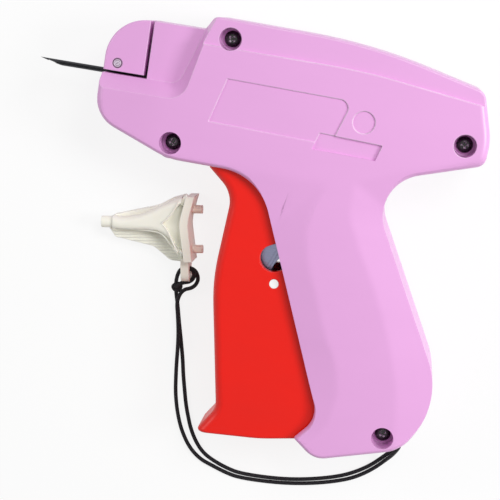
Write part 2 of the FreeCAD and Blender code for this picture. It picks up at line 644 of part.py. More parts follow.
def rocker_lever():
    """A folded steel lever: the drive pin swings its cam slot, and its head drives the slide's pin."""
    part = new_body("rocker_lever")
    level = "(casing_width - lever_width) / 2"
    neck, head = "lever_neck_width / 2", "lever_head_width / 2"
    reach = ARM / math.cos(math.radians(LEAN))
    top = "needle_height + lever_head_width * 0.9"
    side = outline(part, "side", level, [
        (-11.8, -22.8, 3), (-3.8, -22.8, 3.5), (-2.8, -13, 8), (6.4, -6.5, 5), (neck, 9, 12),
        (neck, "needle_height - 10", 10), (head, "needle_height - 4", 10), (head, top, "lever_head_width * 0.45"),
        ("-" + head, top, "lever_head_width * 0.45"), ("-" + head, "needle_height - 4", 10),
        ("-" + neck, "needle_height - 10", 10), ("-" + neck, 8, 5), (-17.2, -2.5, 3), (-17.2, -17.5, 5)])
    pad(part, side, "lever_width")
    web = "-%s + sheet" % neck
    between = outline(part, "between", level + " + sheet", [
        (20, -30, 0), (20, 70, 0), (-30, 70, 0), (-30, 34, 0), (web, 34, 0), (web, 9, 0), (-30, 9, 0),
        (-30, -30, 0)])
    pocket(part, between, "lever_width - sheet * 2", True)
    pad(part, circles(part, "hub", level, [(0, 0)], "lever_axle_radius + sheet"), "lever_width")
    pocket(part, circles(part, "bore", level, [(0, 0)], "lever_axle_radius + shaft_gap"), "lever_width", True)
    cam = [pin_in_lever(share) for share in (0, 0.5, 1)]
    pocket(part, slot(part, "cam_slot", level, cam, "drive_pin_radius + slot_play"), "lever_width", True)
    ends = [(0, ARM), (0, reach)]
    pocket(part, slot(part, "head_slot", level, ends, "slide_pin_radius + slot_play"), "lever_width", True)
    bead = slot(part, "bead", level + " + lever_width", [(-12.1, -14.6), (-12.1, -5)], "bead_width / 2")
    pad(part, bead, "bead_height")
    put(part, turn=-LEAN)


def trigger_spring():
    """A wire spring coiled round the trigger's axle, with one leg on the trigger and one on the butt."""
    radius, wire = value("coil_radius"), value("coil_wire_radius")
    start_turn, end_turn = 90, 70
    turns = value("coil_turns") + (end_turn - start_turn) / 360
    pitch = wire * 2 + value("shaft_gap") * 2
    coil = Part.makeHelix(pitch, pitch * turns, radius)
    coil.rotate(Vector(), Vector(0, 0, 1), start_turn)
    coil.translate(Vector(HINGE[0], HINGE[1], value(MIDDLE) - pitch * turns / 2))
    start, end = coil.Edges[0].Vertexes[0].Point, coil.Edges[-1].Vertexes[-1].Point
    along_end = Vector(*turned((0, 1), end_turn), 0)
    post = value("grip_screw_x - counterbore_radius - post_wall - coil_wire_radius * 1.5")
    butt_leg = Part.makeLine(Vector(post, start.y, start.z), start)
    trigger_leg = Part.makeLine(end, end + along_end * value("coil_leg"))
    path = Part.Wire([butt_leg] + coil.Edges + [trigger_leg])
    ring = Part.Wire([Part.Circle(butt_leg.Vertexes[0].Point, Vector(1, 0, 0), wire).toShape()])
    return feature("trigger_spring", path.makePipeShell([ring], True, True))


# ---------------------------------------------------------------- the slide and the needle

def slide():
    part = new_body("slide")
    level = "(casing_width - slide_width) / 2"
    low, high = "needle_height - slide_height / 2", "needle_height + slide_height / 2"
    side = outline(part, "side", level, [
        ("slide_front", "needle_height - rod_grip / 2", 0), ("slide_front + rod_grip / 2", low, 1.5),
        (SLIDE_REAR, low, 1), (SLIDE_REAR, high, 1), ("slide_front + rod_grip / 2", high, 1.5),
        ("slide_front", "needle_height + rod_grip / 2", 0)])
    pad(part, side, "slide_width")
    for name, edge in (("low_window", low + " + sheet"),
                       ("high_window", "needle_height + slide_pin_radius + sheet")):
        window = block(part, name, level, "slide_front + rod_grip", SLIDE_REAR + " - sheet",
                       edge, edge + " + slide_height / 2 - slide_pin_radius - sheet * 2")
        pocket(part, window, "slide_width", True)
    pocket(part, circles(part, "pin_hole", level, [SLIDE_PIN], "slide_pin_radius + shaft_gap / 2"),
           "slide_width", True)
    rod_hole = circles(part, "rod_hole", "slide_front", [("needle_height", MIDDLE)],
                       "rod_radius + shaft_gap / 2", "YZ_Plane")
    pocket(part, rod_hole, "rod_grip", True)


def slide_pin():
    part = new_body("slide_pin")
    pad(part, circles(part, "round", "wall + running_gap * 2", [SLIDE_PIN], "slide_pin_radius"),
        "casing_width - 2 * (wall + running_gap * 2)")
    round_edges(part, lambda p: True, "shaft_gap * 8", "Chamfer")


def ejector_rod():
    part = new_body("ejector_rod")
    tip = "-slot_reach + bar_length / 2 + running_gap"
    pad(part, circles(part, "round", tip, [("needle_height", MIDDLE)], "rod_radius", "YZ_Plane"),
        "slide_front + rod_grip - (%s)" % tip)


def bumper():
    """The rubber stop that the slide comes back to, clipped on the front of the rear screw post."""
    part = new_body("bumper")
    post = "counterbore_radius + post_wall"
    front = "rear_screw_x - counterbore_radius - post_wall - bumper_wall"
    pad(part, outline(part, "block", "(casing_width - slide_width) / 2", [
        (front, "rear_screw_y - 3", 1), ("rear_screw_x", "rear_screw_y - 3", 0),
        ("rear_screw_x", "rear_screw_y + 8", 0), (front, "rear_screw_y + 8", 1)]), "slide_width")
    pocket(part, circles(part, "post", "(casing_width - slide_width) / 2", [SCREWS[2]], post + " + shaft_gap"),
           "slide_width", True)


def needle():
    """The hollow needle: bevelled at its tip and slit along its side for the fastener's thread."""
    part = new_body("needle")
    axis = [("needle_height", MIDDLE)]
    tip, tail = "-nose_reach - needle_reach", "-slot_reach - bar_length / 2"
    pad(part, circles(part, "tube", tip, axis, "needle_radius", "YZ_Plane"), "%s - (%s)" % (tail, tip))
    pocket(part, circles(part, "bore", tip, axis, "needle_bore", "YZ_Plane"), "%s - (%s)" % (tail, tip), True)
    slit = block(part, "slit", MIDDLE, tip + " - 1", tail + " + 1", "needle_height - needle_slit / 2",
                 "needle_height + needle_slit / 2")
    pocket(part, slit, "needle_radius * 2", True)
    bevel = outline(part, "bevel", "-needle_height - needle_radius * 2", [
        (tip + " - 1", "casing_width / 2 - needle_radius", 0), (tip, "casing_width / 2 - needle_radius * 0.8", 0),
        (tip + " + needle_bevel", "casing_width / 2 + needle_radius", 0),
        (tip + " + needle_bevel", "casing_width / 2 + needle_radius * 2", 0),
        (tip + " - 1", "casing_width / 2 + needle_radius * 2", 0)], "XZ_Plane")
    pocket(part, bevel, "needle_radius * 4", True)


def needle_base():
    """The needle's plastic base: notched for the lock, with the ways of the bar, thread and rod."""
    part = new_body("needle_base")
    level = "(casing_width - base_width) / 2"
    front, rear = "-nose_reach", "-nose_reach + base_length"
    low, high = "needle_height - base_height / 2", "needle_height + base_height / 2"
    pad(part, block(part, "block", level, front, rear, low, high), "base_width")
    axis = [("needle_height", MIDDLE)]
    pad(part, circles(part, "collar", front, axis, "collar_radius", "YZ_Plane"), "collar_length", False)
    pocket(part, circles(part, "lock_notch", level, [LOCK], "lock_pin_radius + running_gap / 2"),
           "base_width", True)
    tail = "-slot_reach - bar_length / 2"
    seat = circles(part, "needle_seat", front + " - collar_length", axis, "needle_radius + shaft_gap / 2",
                   "YZ_Plane")
    pocket(part, seat, "%s - (%s - collar_length)" % (tail, front), True)
    rod = circles(part, "rod_way", rear, axis, "rod_radius + running_gap", "YZ_Plane")
    pocket(part, rod, "%s - (%s)" % (rear, tail))
    trough = block(part, "bar_trough", "casing_width / 2 + bar_radius + shaft_gap", tail,
                   "-slot_reach + bar_length / 2", "needle_height - bar_radius - shaft_gap", high + " + 1")
    pocket(part, trough, "(bar_radius + shaft_gap) * 2")
    thread = block(part, "thread_way", MIDDLE, front + " - collar_length - 1", "-slot_reach + slot_width / 2",
                   "needle_height - needle_slit / 2", "needle_height + needle_slit / 2")
    pocket(part, thread, "base_width", True)
    drop = block(part, "thread_drop", MIDDLE, "-slot_reach - slot_width / 2", "-slot_reach + slot_width / 2",
                 "needle_height - needle_slit / 2", high + " + 1")
    pocket(part, drop, "base_width", True)


def knife():
    """The blade beside the feed slot that parts a fastener from its clip."""
    part = new_body("knife")
    front = "-slot_reach + slot_width / 2"
    back, top = front + " + knife_thickness", KNIFE_LOW + " + knife_height"
    blade = outline(part, "blade", "casing_width / 2 + shaft_gap", [
        (front, KNIFE_LOW + " + shaft_gap", 0), (back, KNIFE_LOW + " + knife_thickness * 2", 0),
        (back, top, 0), (front, top, 0)])
    pad(part, blade, "knife_width")


def needle_lock():
    """A half-moon pin across the cheek, turned by a small lever on the right side."""
    part = new_body("needle_lock")
    bottom = "recess_depth - running_gap - lock_arm_height"
    pin = circles(part, "pin", bottom, [LOCK], "lock_pin_radius")
    pad(part, pin, "casing_width - recess_depth - (%s)" % bottom)
    x, y = value("lock_x"), value("lock_y")
    arm = slot(part, "arm", bottom, [(x, y), (x + value("lock_arm"), y)], "lock_pin_radius + running_gap")
    pad(part, arm, "lock_arm_height")
    flat = block(part, "flat", "(casing_width - base_width) / 2 - running_gap", "lock_x - 3", "lock_x + 3",
                 "lock_y", "lock_y + 3")
    pocket(part, flat, "base_width + running_gap * 2", True)


# ---------------------------------------------------------------- the feed

def spoked(part, kind, drawing, length, count, up=True):
    """A pad or pocket repeated about the body's own Z axis."""
    feature = grow(part, kind, drawing, length, up)
    pattern = part.newObject("PartDesign::PolarPattern", drawing.Name + "_ring")
    pattern.Originals = [feature]
    axis = [line for line in part.Origin.OriginFeatures if line.Role == "Z_Axis"]
    pattern.Axis = (axis[0], [""])
    pattern.Angle = 360
    pattern.Occurrences = int(value(count))
    pattern.setExpression("Occurrences", formula(count))
    part.Tip = pattern
    doc.recompute()


def feed_wheel():
    part = new_body("feed_wheel")
    pad(part, circles(part, "disc", 0, [(0, 0)], "feed_radius"), "feed_width")
    half = value("feed_radius * 3.14159 / feed_teeth * 0.8")
    tooth = outline(part, "tooth", 0, [
        (value("feed_radius") * 0.96, -half, 0), ("feed_radius + tooth_height", half * 0.5, 0),
        ("feed_radius + tooth_height", half * 0.8, 0), (value("feed_radius") * 0.96, half, 0)])
    spoked(part, "Pad", tooth, "feed_width", "feed_teeth")
    pocket(part, circles(part, "bore", 0, [(0, 0)], "feed_shaft_radius + shaft_gap / 2"), "feed_width", True)
    put(part, FEED[0], FEED[1], "casing_width / 2 - running_gap - feed_width")


def feed_shaft():
    part = new_body("feed_shaft")
    bottom = "recess_depth - running_gap - knob_height + sheet / 2"
    pad(part, circles(part, "round", bottom, [FEED], "feed_shaft_radius"),
        "casing_width / 2 + feed_width - running_gap - (%s)" % bottom)


def feed_knob():
    part = new_body("feed_knob")
    pad(part, circles(part, "disc", 0, [(0, 0)], "knob_radius"), "knob_height")
    round_edges(part, lambda p: abs(p.z) < 1e-6, 0.6)
    groove = circles(part, "groove", 0, [("knob_radius + 0.2", 0)], 0.6)
    spoked(part, "Pocket", groove, "knob_height", "knob_grooves")
    pocket(part, circles(part, "dish", 0, [(0, 0)], "knob_radius * 0.62"), "sheet / 2", True)
    pocket(part, circles(part, "bore", 0, [(0, 0)], "feed_shaft_radius + shaft_gap / 2"), "knob_height", True)
    put(part, FEED[0], FEED[1], "recess_depth - running_gap - knob_height")


def feed_pawl():
    """The pawl that holds the feed wheel, drawn riding on a tooth."""
    part = new_body("feed_pawl")
    x, y = PAWL
    edge = "pawl_pin_radius * 2"
    pad(part, outline(part, "arm", "casing_width / 2 - running_gap - feed_width", [
        (f"{x} - {edge}", f"{y} + {edge}", 1.4), (f"{x} - {edge} / 2", f"{y} - pawl_arm + 1.6", 1),
        (f"{x} - {edge}", f"{y} - pawl_arm + 0.4", 0), (f"{x} - {edge}", f"{y} - pawl_arm - 0.3", 0.3),
        (f"{x} + 0.4", f"{y} - pawl_arm - 1", 0.5), (f"{x} + {edge}", f"{y} - {edge}", 2),
        (f"{x} + {edge}", f"{y} + {edge}", 1.4)]), "feed_width")
    pocket(part, circles(part, "bore", MIDDLE, [(x, y)], "pawl_pin_radius + shaft_gap"), "feed_width * 2")


def pawl_pin():
    part = new_body("pawl_pin")
    place = [PAWL]
    pad(part, circles(part, "round", "casing_width / 2 - feed_width * 2 + shaft_gap", place, "pawl_pin_radius"),
        "feed_width * 2 - shaft_gap * 2")


def pawl_spring():
    """A bent leaf between the pawl's back and the wall of its room."""
    part = new_body("pawl_spring")
    x, y = PAWL
    wall = "%s + pawl_arm * 0.9" % x
    leaf = "leaf_thickness"
    foot = y + " - pawl_arm * 1.3"
    pad(part, outline(part, "leaf", "casing_width / 2 - feed_width", [
        (wall + " - shaft_gap", foot, 0), (wall + " - shaft_gap", y, 0), (wall + " - shaft_gap - " + leaf, y, 0),
        (wall + " - shaft_gap - " + leaf, foot + " + leaf_thickness * 2", 0),
        (x + " + pawl_pin_radius * 2 + shaft_gap * 2 + leaf_thickness", y + " - pawl_arm * 0.5", 0),
        (x + " + pawl_pin_radius * 2 + shaft_gap * 2", y + " - pawl_arm * 0.5", 0),
        (wall + " - shaft_gap - " + leaf, foot, 0)]), "feed_width / 2")


# ---------------------------------------------------------------- the cap and its lanyard

def needle_cap():
    """The needle's cap: a flared half cone on a ribbed plate, a saddle-shaped flange and two pegs."""
    part = new_body("needle_cap")
    half, tall, reach = "cap_half_width", "cap_height", "cap_length"
    nozzle = circles(part, "nozzle", 0, [(0, "cap_height / 2")], "nozzle_radius", "YZ_Plane")
    pad(part, nozzle, "nozzle_length + 1")
    edge = [(0.08, -0.2, 0), (0.15, -0.47, 1), (0.62, -0.74, 6), (0.82, -1.16, 3), (1, -1.2, 0), (1, 0.82, 0),
            (0.85, 0.72, 8), (0.67, 0.48, 10), (0.14, 0.2, 0)]
    lower = outline(part, "lower", 0, [("%s * %s" % (reach, x), "%s * %s" % (half, y), r) for x, y, r in edge])
    pad(part, lower, "cap_height * 0.38")
    sections = [("nozzle_length", -0.2, 0.2, 0.2, 0.72), (reach + " * 0.5", -0.22, 0.27, 0.1, 0.82),
                (reach + " * 0.73", -0.3, 0.52, 0.1, 0.88), (reach, -1.05, 0.82, 0.1, 1)]
    drawings = []
    for index, (place, left, right, low, high) in enumerate(sections):
        left, right = "%s * %s" % (half, left), "%s * %s" % (half, right)
        low, high = "%s * %s" % (tall, low), "%s * %s" % (tall, high)
        drawings.append(outline(part, "section_%d" % index, place, [
            (left, low, 0.6), (right, low, 0.6), (right, high, 2.2), (left, high, 2.2)], "YZ_Plane"))
    loft = part.newObject("PartDesign::AdditiveLoft", "needle_cap_flare")
    loft.Profile = drawings[0]
    loft.Sections = drawings[1:]
    doc.recompute()
    ridge = [(0.17, -0.17), (0.5, -0.18), (0.7, -0.2), (0.8, -0.36), (0.88, -0.66), (1.02, -1.1)]
    corners = [("%s * %s" % (reach, x), "%s * %s" % (half, y), 0) for x, y in ridge]
    plate = outline(part, "plate_edge", tall, corners + [
        (reach + " * 1.02", half + " * -2", 0), (reach + " * 0.17", half + " * -2", 0)])
    pocket(part, plate, "cap_height * 0.62")
    web = outline(part, "web", tall, [
        (reach + " * 0.76", half + " * 0.02", 0.6), (reach + " * 0.83", half + " * -0.2", 0),
        (reach + " * 0.92", half + " * -0.7", 0), (reach + " * 1.1", half + " * -0.9", 0),
        (reach + " * 1.1", half + " * 0.8", 0), (reach + " * 1.02", half + " * 0.72", 0)])
    pocket(part, web, "cap_height * 0.25")
    flange = outline(part, "flange", 0, saddle())
    pad(part, flange, "cap_height")
    peg_level = "cap_height * 0.42"
    pegs = circles(part, "pegs", reach, [(half + " * 0.4", peg_level), (half + " * -0.8", peg_level)],
                   "peg_radius", "YZ_Plane")
    pad(part, pegs, "flange + peg_length")
    tab = outline(part, "tab", reach + " - 1", [
        (half + " * -1.05", 2, 0), (half + " * -1.05", 9, 0), (half + " * -1.1 - tab_length", 9, 2.5),
        (half + " * -1.1 - tab_length", 2, 2.5)], "YZ_Plane")
    pad(part, tab, "flange")
    hole = circles(part, "tab_hole", reach + " - 2", [(half + " * -1.1 - tab_length + 4", 5.5)],
                   "tab_hole_radius", "YZ_Plane")
    pocket(part, hole, "flange * 4", True)
    put(part, "cap_x", "cap_y", 0, value("cap_turn"))
    return part


def saddle():
    """The outline of the cap's flange: two arcs that bow towards the tip."""
    front = [("cap_length + 1.6", "cap_half_width * 0.83", 0), ("cap_length - 1", "cap_half_width * 0.05", 14),
             ("cap_length + 0.6", "cap_half_width * -1.12", 0)]
    return front + [(x + " + flange", y, radius) for x, y, radius in reversed(front)]


KNOT = (-49.9, -26.2)

ROUTE = [
    (38.9, -57.4, 15.9), (39.5, -64.8, 15.9), (37.8, -70.7, 9.6), (35.6, -75.8, 2.6), (31.2, -81.1, 0.8),
    (25.1, -85.5, 0.8), (18.2, -88.3, 0.8), (9.8, -90.7, 0.8), (0.9, -92.4, 0.8),
    (-8.1, -93.3, 0.8), (-17.2, -93.6, 0.8), (-22.2, -92.6, 0.8), (-27.2, -91.0, 0.8), (-32, -89.4, 0.8),
    (-36.6, -85.8, 0.8), (-40.4, -80, 0.8), (-42.6, -74.6, 0.8), (-43.9, -70.2, 0.8), (-45, -65.2, 0.8),
    (-45.6, -59.6, 1.2), (-46, -54.4, 2.0), (-46.3, -49, 2.5), (-46.9, -43, 2.6), (-48.1, -36.4, 2.8),
    (-49.2, -31.2, 3.4), (-47.8, -26.7, 3.2), (-43.9, -25.4, 2.8), (-42.1, -21.6, 4.4), (-44.2, -17.6, 5.5),
    (-49.2, -18.2, 5.5), (-50.6, -22.8, 3.8), (-50.2, -28.2, 1.6),
    (-49, -33, 0.8), (-47.6, -38.9, 0.8), (-46.4, -43.6, 0.8), (-45.2, -48.4, 0.8), (-44, -53.4, 0.8),
    (-43.1, -58.3, 0.8), (-41.9, -63.4, 0.8), (-40.4, -69.6, 0.8), (-38.9, -74.0, 0.8), (-37.4, -78.1, 0.8),
    (-34.8, -82.8, 0.8), (-31.2, -86.9, 0.8), (-26.4, -89.3, 0.8), (-21.6, -90.9, 0.8), (-17, -91.9, 0.8),
    (-8, -91.7, 0.8), (1.1, -90.8, 0.8), (9.5, -89.1, 0.8), (17.7, -86.7, 0.8), (24, -84, 0.8),
    (30.1, -79.9, 0.8), (34.5, -75, 1.9), (37.4, -69.4, 8.5), (39.5, -64.8, 14.1),
    (38.9, -57.4, 14.1)]


def cord_path(points):
    """Straight runs joined by tangent arcs, each as large as its two runs allow."""
    points = [Vector(*point) for point in points]
    edges, start, radii = [], points[0], []
    for before, corner, after in zip(points, points[1:], points[2:]):
        back, ahead = (before - corner), (after - corner)
        reach = 0.45 * min(back.Length, ahead.Length)
        half_turn = (math.pi - back.getAngle(ahead)) / 2
        back.normalize()
        ahead.normalize()
        radii.append(reach / math.tan(half_turn))
        enter, leave = corner + back * reach, corner + ahead * reach
        centre = corner + (back + ahead).normalize() * (radii[-1] / math.cos(half_turn))
        middle = centre + (corner - centre).normalize() * radii[-1]
        edges += [Part.makeLine(start, enter), Part.Arc(enter, middle, leave).toShape()]
        start = leave
    edges.append(Part.makeLine(start, points[-1]))
    return Part.Wire(edges), radii


def lanyard():
    path, radii = cord_path(ROUTE)
    radius = value("cord_radius")
    print("tightest bends of the lanyard:", [round(size, 1) for size in sorted(radii)[:8]])
    first = Vector(*ROUTE[0])
    ring = Part.Wire([Part.Circle(first, Vector(*ROUTE[1]) - first, radius).toShape()])
    tube = path.makePipeShell([ring], True, True)
    print("lanyard volume", round(tube.Volume, 1), "against", round(math.pi * radius ** 2 * path.Length, 1))
    return feature("lanyard", tube)


def lanyard_knot():
    ball = doc.addObject("Part::Sphere", "lanyard_knot")
    bind(ball, Radius="knot_radius")
    ball.Placement = Placement(Vector(*KNOT, value("knot_radius + shaft_gap")), Rotation())
    return ball


def feature(name, shape):
    thing = doc.addObject("Part::Feature", name)
    thing.Shape = shape
    thing.Label = name
    return thing


# ---------------------------------------------------------------- the whole tool

left_casing()
right_casing()
casing_screws()
axle("lever_axle", AXLE, "lever_axle_radius")
axle("trigger_axle", HINGE_AXLE, "trigger_axle_radius")
trigger()
drive_pin()
rocker_lever()
trigger_spring()
slide()
slide_pin()
ejector_rod()
bumper()
needle()
needle_base()
knife()
needle_lock()
feed_wheel()
feed_shaft()
feed_knob()
feed_pawl()
pawl_pin()
pawl_spring()
needle_cap()
lanyard()
lanyard_knot()

# ---------------------------------------------------------------- checks and export

for thing in doc.Objects:
    if "Invalid" in thing.State or "Error" in thing.State:
        raise RuntimeError(thing.Name + " failed")
doc.recompute()
parts = [thing for thing in doc.Objects if thing.TypeId in ("PartDesign::Body", "Part::Feature", "Part::Sphere")]
os.makedirs("parts", exist_ok=True)
for part in parts:
    if part.Shape.isNull() or not part.Shape.isValid():
        raise RuntimeError(part.Label + " has no valid shape")
    part.Shape.exportStep("parts/%s.step" % part.Label)
    print(part.Label, len(part.Shape.Solids), round(part.Shape.Volume))
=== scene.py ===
"""Looks of the garment tag attacher: moulded shells, steel parts, a braided lanyard and its knot."""
import json
import math

import bmesh
import bpy
from mathutils import Matrix, Vector


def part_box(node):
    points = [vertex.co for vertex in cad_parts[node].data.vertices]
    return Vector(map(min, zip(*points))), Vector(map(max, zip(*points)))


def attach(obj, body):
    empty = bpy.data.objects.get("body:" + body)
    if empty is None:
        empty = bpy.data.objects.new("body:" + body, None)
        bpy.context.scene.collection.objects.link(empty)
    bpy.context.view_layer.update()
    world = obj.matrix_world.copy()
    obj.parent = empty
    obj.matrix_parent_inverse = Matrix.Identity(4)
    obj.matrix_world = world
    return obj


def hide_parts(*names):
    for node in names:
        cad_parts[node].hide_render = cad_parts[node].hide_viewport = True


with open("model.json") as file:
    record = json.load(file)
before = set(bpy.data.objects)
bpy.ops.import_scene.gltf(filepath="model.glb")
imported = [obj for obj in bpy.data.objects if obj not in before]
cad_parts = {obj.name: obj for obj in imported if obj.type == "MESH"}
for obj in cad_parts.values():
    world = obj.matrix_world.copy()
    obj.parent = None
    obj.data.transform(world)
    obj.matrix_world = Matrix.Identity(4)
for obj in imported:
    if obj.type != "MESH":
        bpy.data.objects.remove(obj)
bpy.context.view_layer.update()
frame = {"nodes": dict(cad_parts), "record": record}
nodes = frame["nodes"]
MM = 0.001
# The height in millimetres at which the two halves of the casing meet.
MIDDLE = 15.0

# ---------------------------------------------------------------- small helpers


def add_object(name, data):
    """An object in the scene that shows the given data."""
    thing = bpy.data.objects.new(name, data)
    bpy.context.scene.collection.objects.link(thing)
    return thing


def mesh_object(name, work, smooth=True):
    """An object made of a finished bmesh, with its faces turned outwards and always in the same order."""
    bmesh.ops.recalc_face_normals(work, faces=work.faces[:])
    work.verts.index_update()
    in_order = sorted(work.faces, key=lambda face: [corner.index for corner in face.verts])
    ranks = {face: rank for rank, face in enumerate(in_order)}
    work.faces.sort(key=ranks.get)
    data = bpy.data.meshes.new(name)
    work.to_mesh(data)
    work.free()
    for face in data.polygons:
        face.use_smooth = smooth
    return add_object(name, data)


def apply_modifiers(thing):
    """Makes the result of an object's modifiers its own mesh."""
    bpy.context.view_layer.update()
    seen = thing.evaluated_get(bpy.context.evaluated_depsgraph_get())
    data = bpy.data.meshes.new_from_object(seen)
    thing.modifiers.clear()
    thing.data = data
    return thing


def cut_away(thing, cutter):
    """Takes one mesh out of another and removes the cutter."""
    cut = thing.modifiers.new("cut", "BOOLEAN")
    cut.object, cut.operation, cut.solver, cut.use_self = cutter, "DIFFERENCE", "EXACT", True
    apply_modifiers(thing)
    bpy.data.objects.remove(cutter)


def bar(work, low, high, round_off=0.0):
    """A block between two corners given in millimetres, with its edges rounded by round_off."""
    corners = bmesh.ops.create_cube(work, size=1)["verts"]
    bmesh.ops.scale(work, verts=corners, vec=[(b - a) * MM for a, b in zip(low, high)])
    bmesh.ops.translate(work, verts=corners, vec=[(a + b) / 2 * MM for a, b in zip(low, high)])
    if round_off:
        edges = list(dict.fromkeys(edge for corner in corners for edge in corner.link_edges))
        return bmesh.ops.bevel(work, geom=edges, offset=round_off * MM, segments=2, profile=0.5,
                               affect="EDGES", material=-1)["verts"]
    return corners


def rod(work, start, end, radius, segments=32):
    """A round bar from start to end, in millimetres."""
    start, end = Vector(start) * MM, Vector(end) * MM
    turn = (end - start).to_track_quat("Z", "Y").to_matrix().to_4x4()
    place = Matrix.Translation((start + end) / 2) @ turn
    return bmesh.ops.create_cone(work, cap_ends=True, segments=segments, radius1=radius * MM,
                                 radius2=radius * MM, depth=(end - start).length, matrix=place)["verts"]


def add_strand(line, points, closed=False, thickness=1.0):
    """Adds a NURBS spline of order 3 to a curve, with its points in millimetres."""
    spline = line.splines.new("NURBS")
    spline.points.add(len(points) - 1)
    for point, place in zip(spline.points, points):
        point.co = (*(number * MM for number in place), 1)
        point.radius = thickness
    spline.order_u, spline.use_cyclic_u, spline.use_endpoint_u = 3, closed, not closed


def round_curve(name, points, radius, closed=False):
    """A round cord or rib with closed ends, its radius in millimetres."""
    line = bpy.data.curves.new(name, "CURVE")
    line.dimensions = "3D"
    line.bevel_depth, line.bevel_resolution, line.resolution_u = radius * MM, 5, 10
    line.use_fill_caps = True
    add_strand(line, points, closed)
    return add_object(name, line)


# ---------------------------------------------------------------- camera

CAMERA_PLACE = Vector((19.38, 79.53, 493.01)) * MM
CAMERA_RIGHT = (0.98079251, 0.15534227, -0.11796113)
CAMERA_UP = (-0.17295237, 0.97222239, -0.15770576)
CAMERA_BACK = (0.09018608, 0.17507828, 0.98041525)
FOCAL_LENGTH, SENSOR_WIDTH = 100, 36


def make_camera():
    """Looks nearly straight down from half a metre, with the grip towards the lower right."""
    lens = bpy.data.cameras.new("camera")
    lens.lens, lens.sensor_width, lens.clip_start = FOCAL_LENGTH, SENSOR_WIDTH, 0.01
    camera = add_object("camera", lens)
    camera.matrix_world = Matrix((CAMERA_RIGHT, CAMERA_UP, CAMERA_BACK)).transposed().to_4x4()
    camera.location = CAMERA_PLACE
    bpy.context.scene.camera = camera


make_camera()

# ---------------------------------------------------------------- shader node groups


class Nodes:
    """Places nodes in a tree and joins them by name."""

    def __init__(self, tree):
        self.tree = tree

    def add(self, kind, inputs=None, **settings):
        """A node whose inputs take sockets or plain values."""
        node = self.tree.nodes.new("ShaderNode" + kind)
        for name, setting in settings.items():
            setattr(node, name, setting)
        for name, source in (inputs or {}).items():
            if isinstance(source, bpy.types.NodeSocket):
                self.tree.links.new(source, node.inputs[name])
            else:
                node.inputs[name].default_value = source
        return node

    def math(self, operation, first, second=0.5, clamp=False):
        """The result of an operation on two numbers."""
        return self.add("Math", {0: first, 1: second}, operation=operation, use_clamp=clamp).outputs[0]

    def remap(self, source, low, high, to_low, to_high):
        """A range of numbers laid on another range, and cut off at its ends."""
        return self.add("MapRange", {"Value": source, "From Min": low, "From Max": high,
                                     "To Min": to_low, "To Max": to_high}).outputs["Result"]

    def noise(self, place, scale, detail=2.0, roughness=0.5):
        """A soft random cloud between nought and one."""
        return self.add("TexNoise", {"Vector": place, "Scale": scale, "Detail": detail,
                                     "Roughness": roughness}).outputs["Fac"]

    def stretched(self, place, **change):
        """Coordinates turned or scaled by a Mapping node."""
        return self.add("Mapping", {"Vector": place, **change}).outputs[0]

    def mix(self, amount, first, second):
        """A blend of two colours."""
        return self.add("Mix", {"Factor": amount, 6: first, 7: second}, data_type="RGBA").outputs[2]


def shader_group(name, inputs, outputs, fill):
    """A node group with named inputs and outputs; fill(nodes, enter) gives the outputs' sources."""
    tree = bpy.data.node_groups.new(name, "ShaderNodeTree")
    for label, kind, number in inputs:
        socket = tree.interface.new_socket(label, in_out="INPUT", socket_type="NodeSocket" + kind)
        socket.default_value = number
    for label, kind in outputs:
        tree.interface.new_socket(label, in_out="OUTPUT", socket_type="NodeSocket" + kind)
    enter, leave = tree.nodes.new("NodeGroupInput"), tree.nodes.new("NodeGroupOutput")
    for label, source in fill(Nodes(tree), enter.outputs).items():
        tree.links.new(source, leave.inputs[label])
    return tree


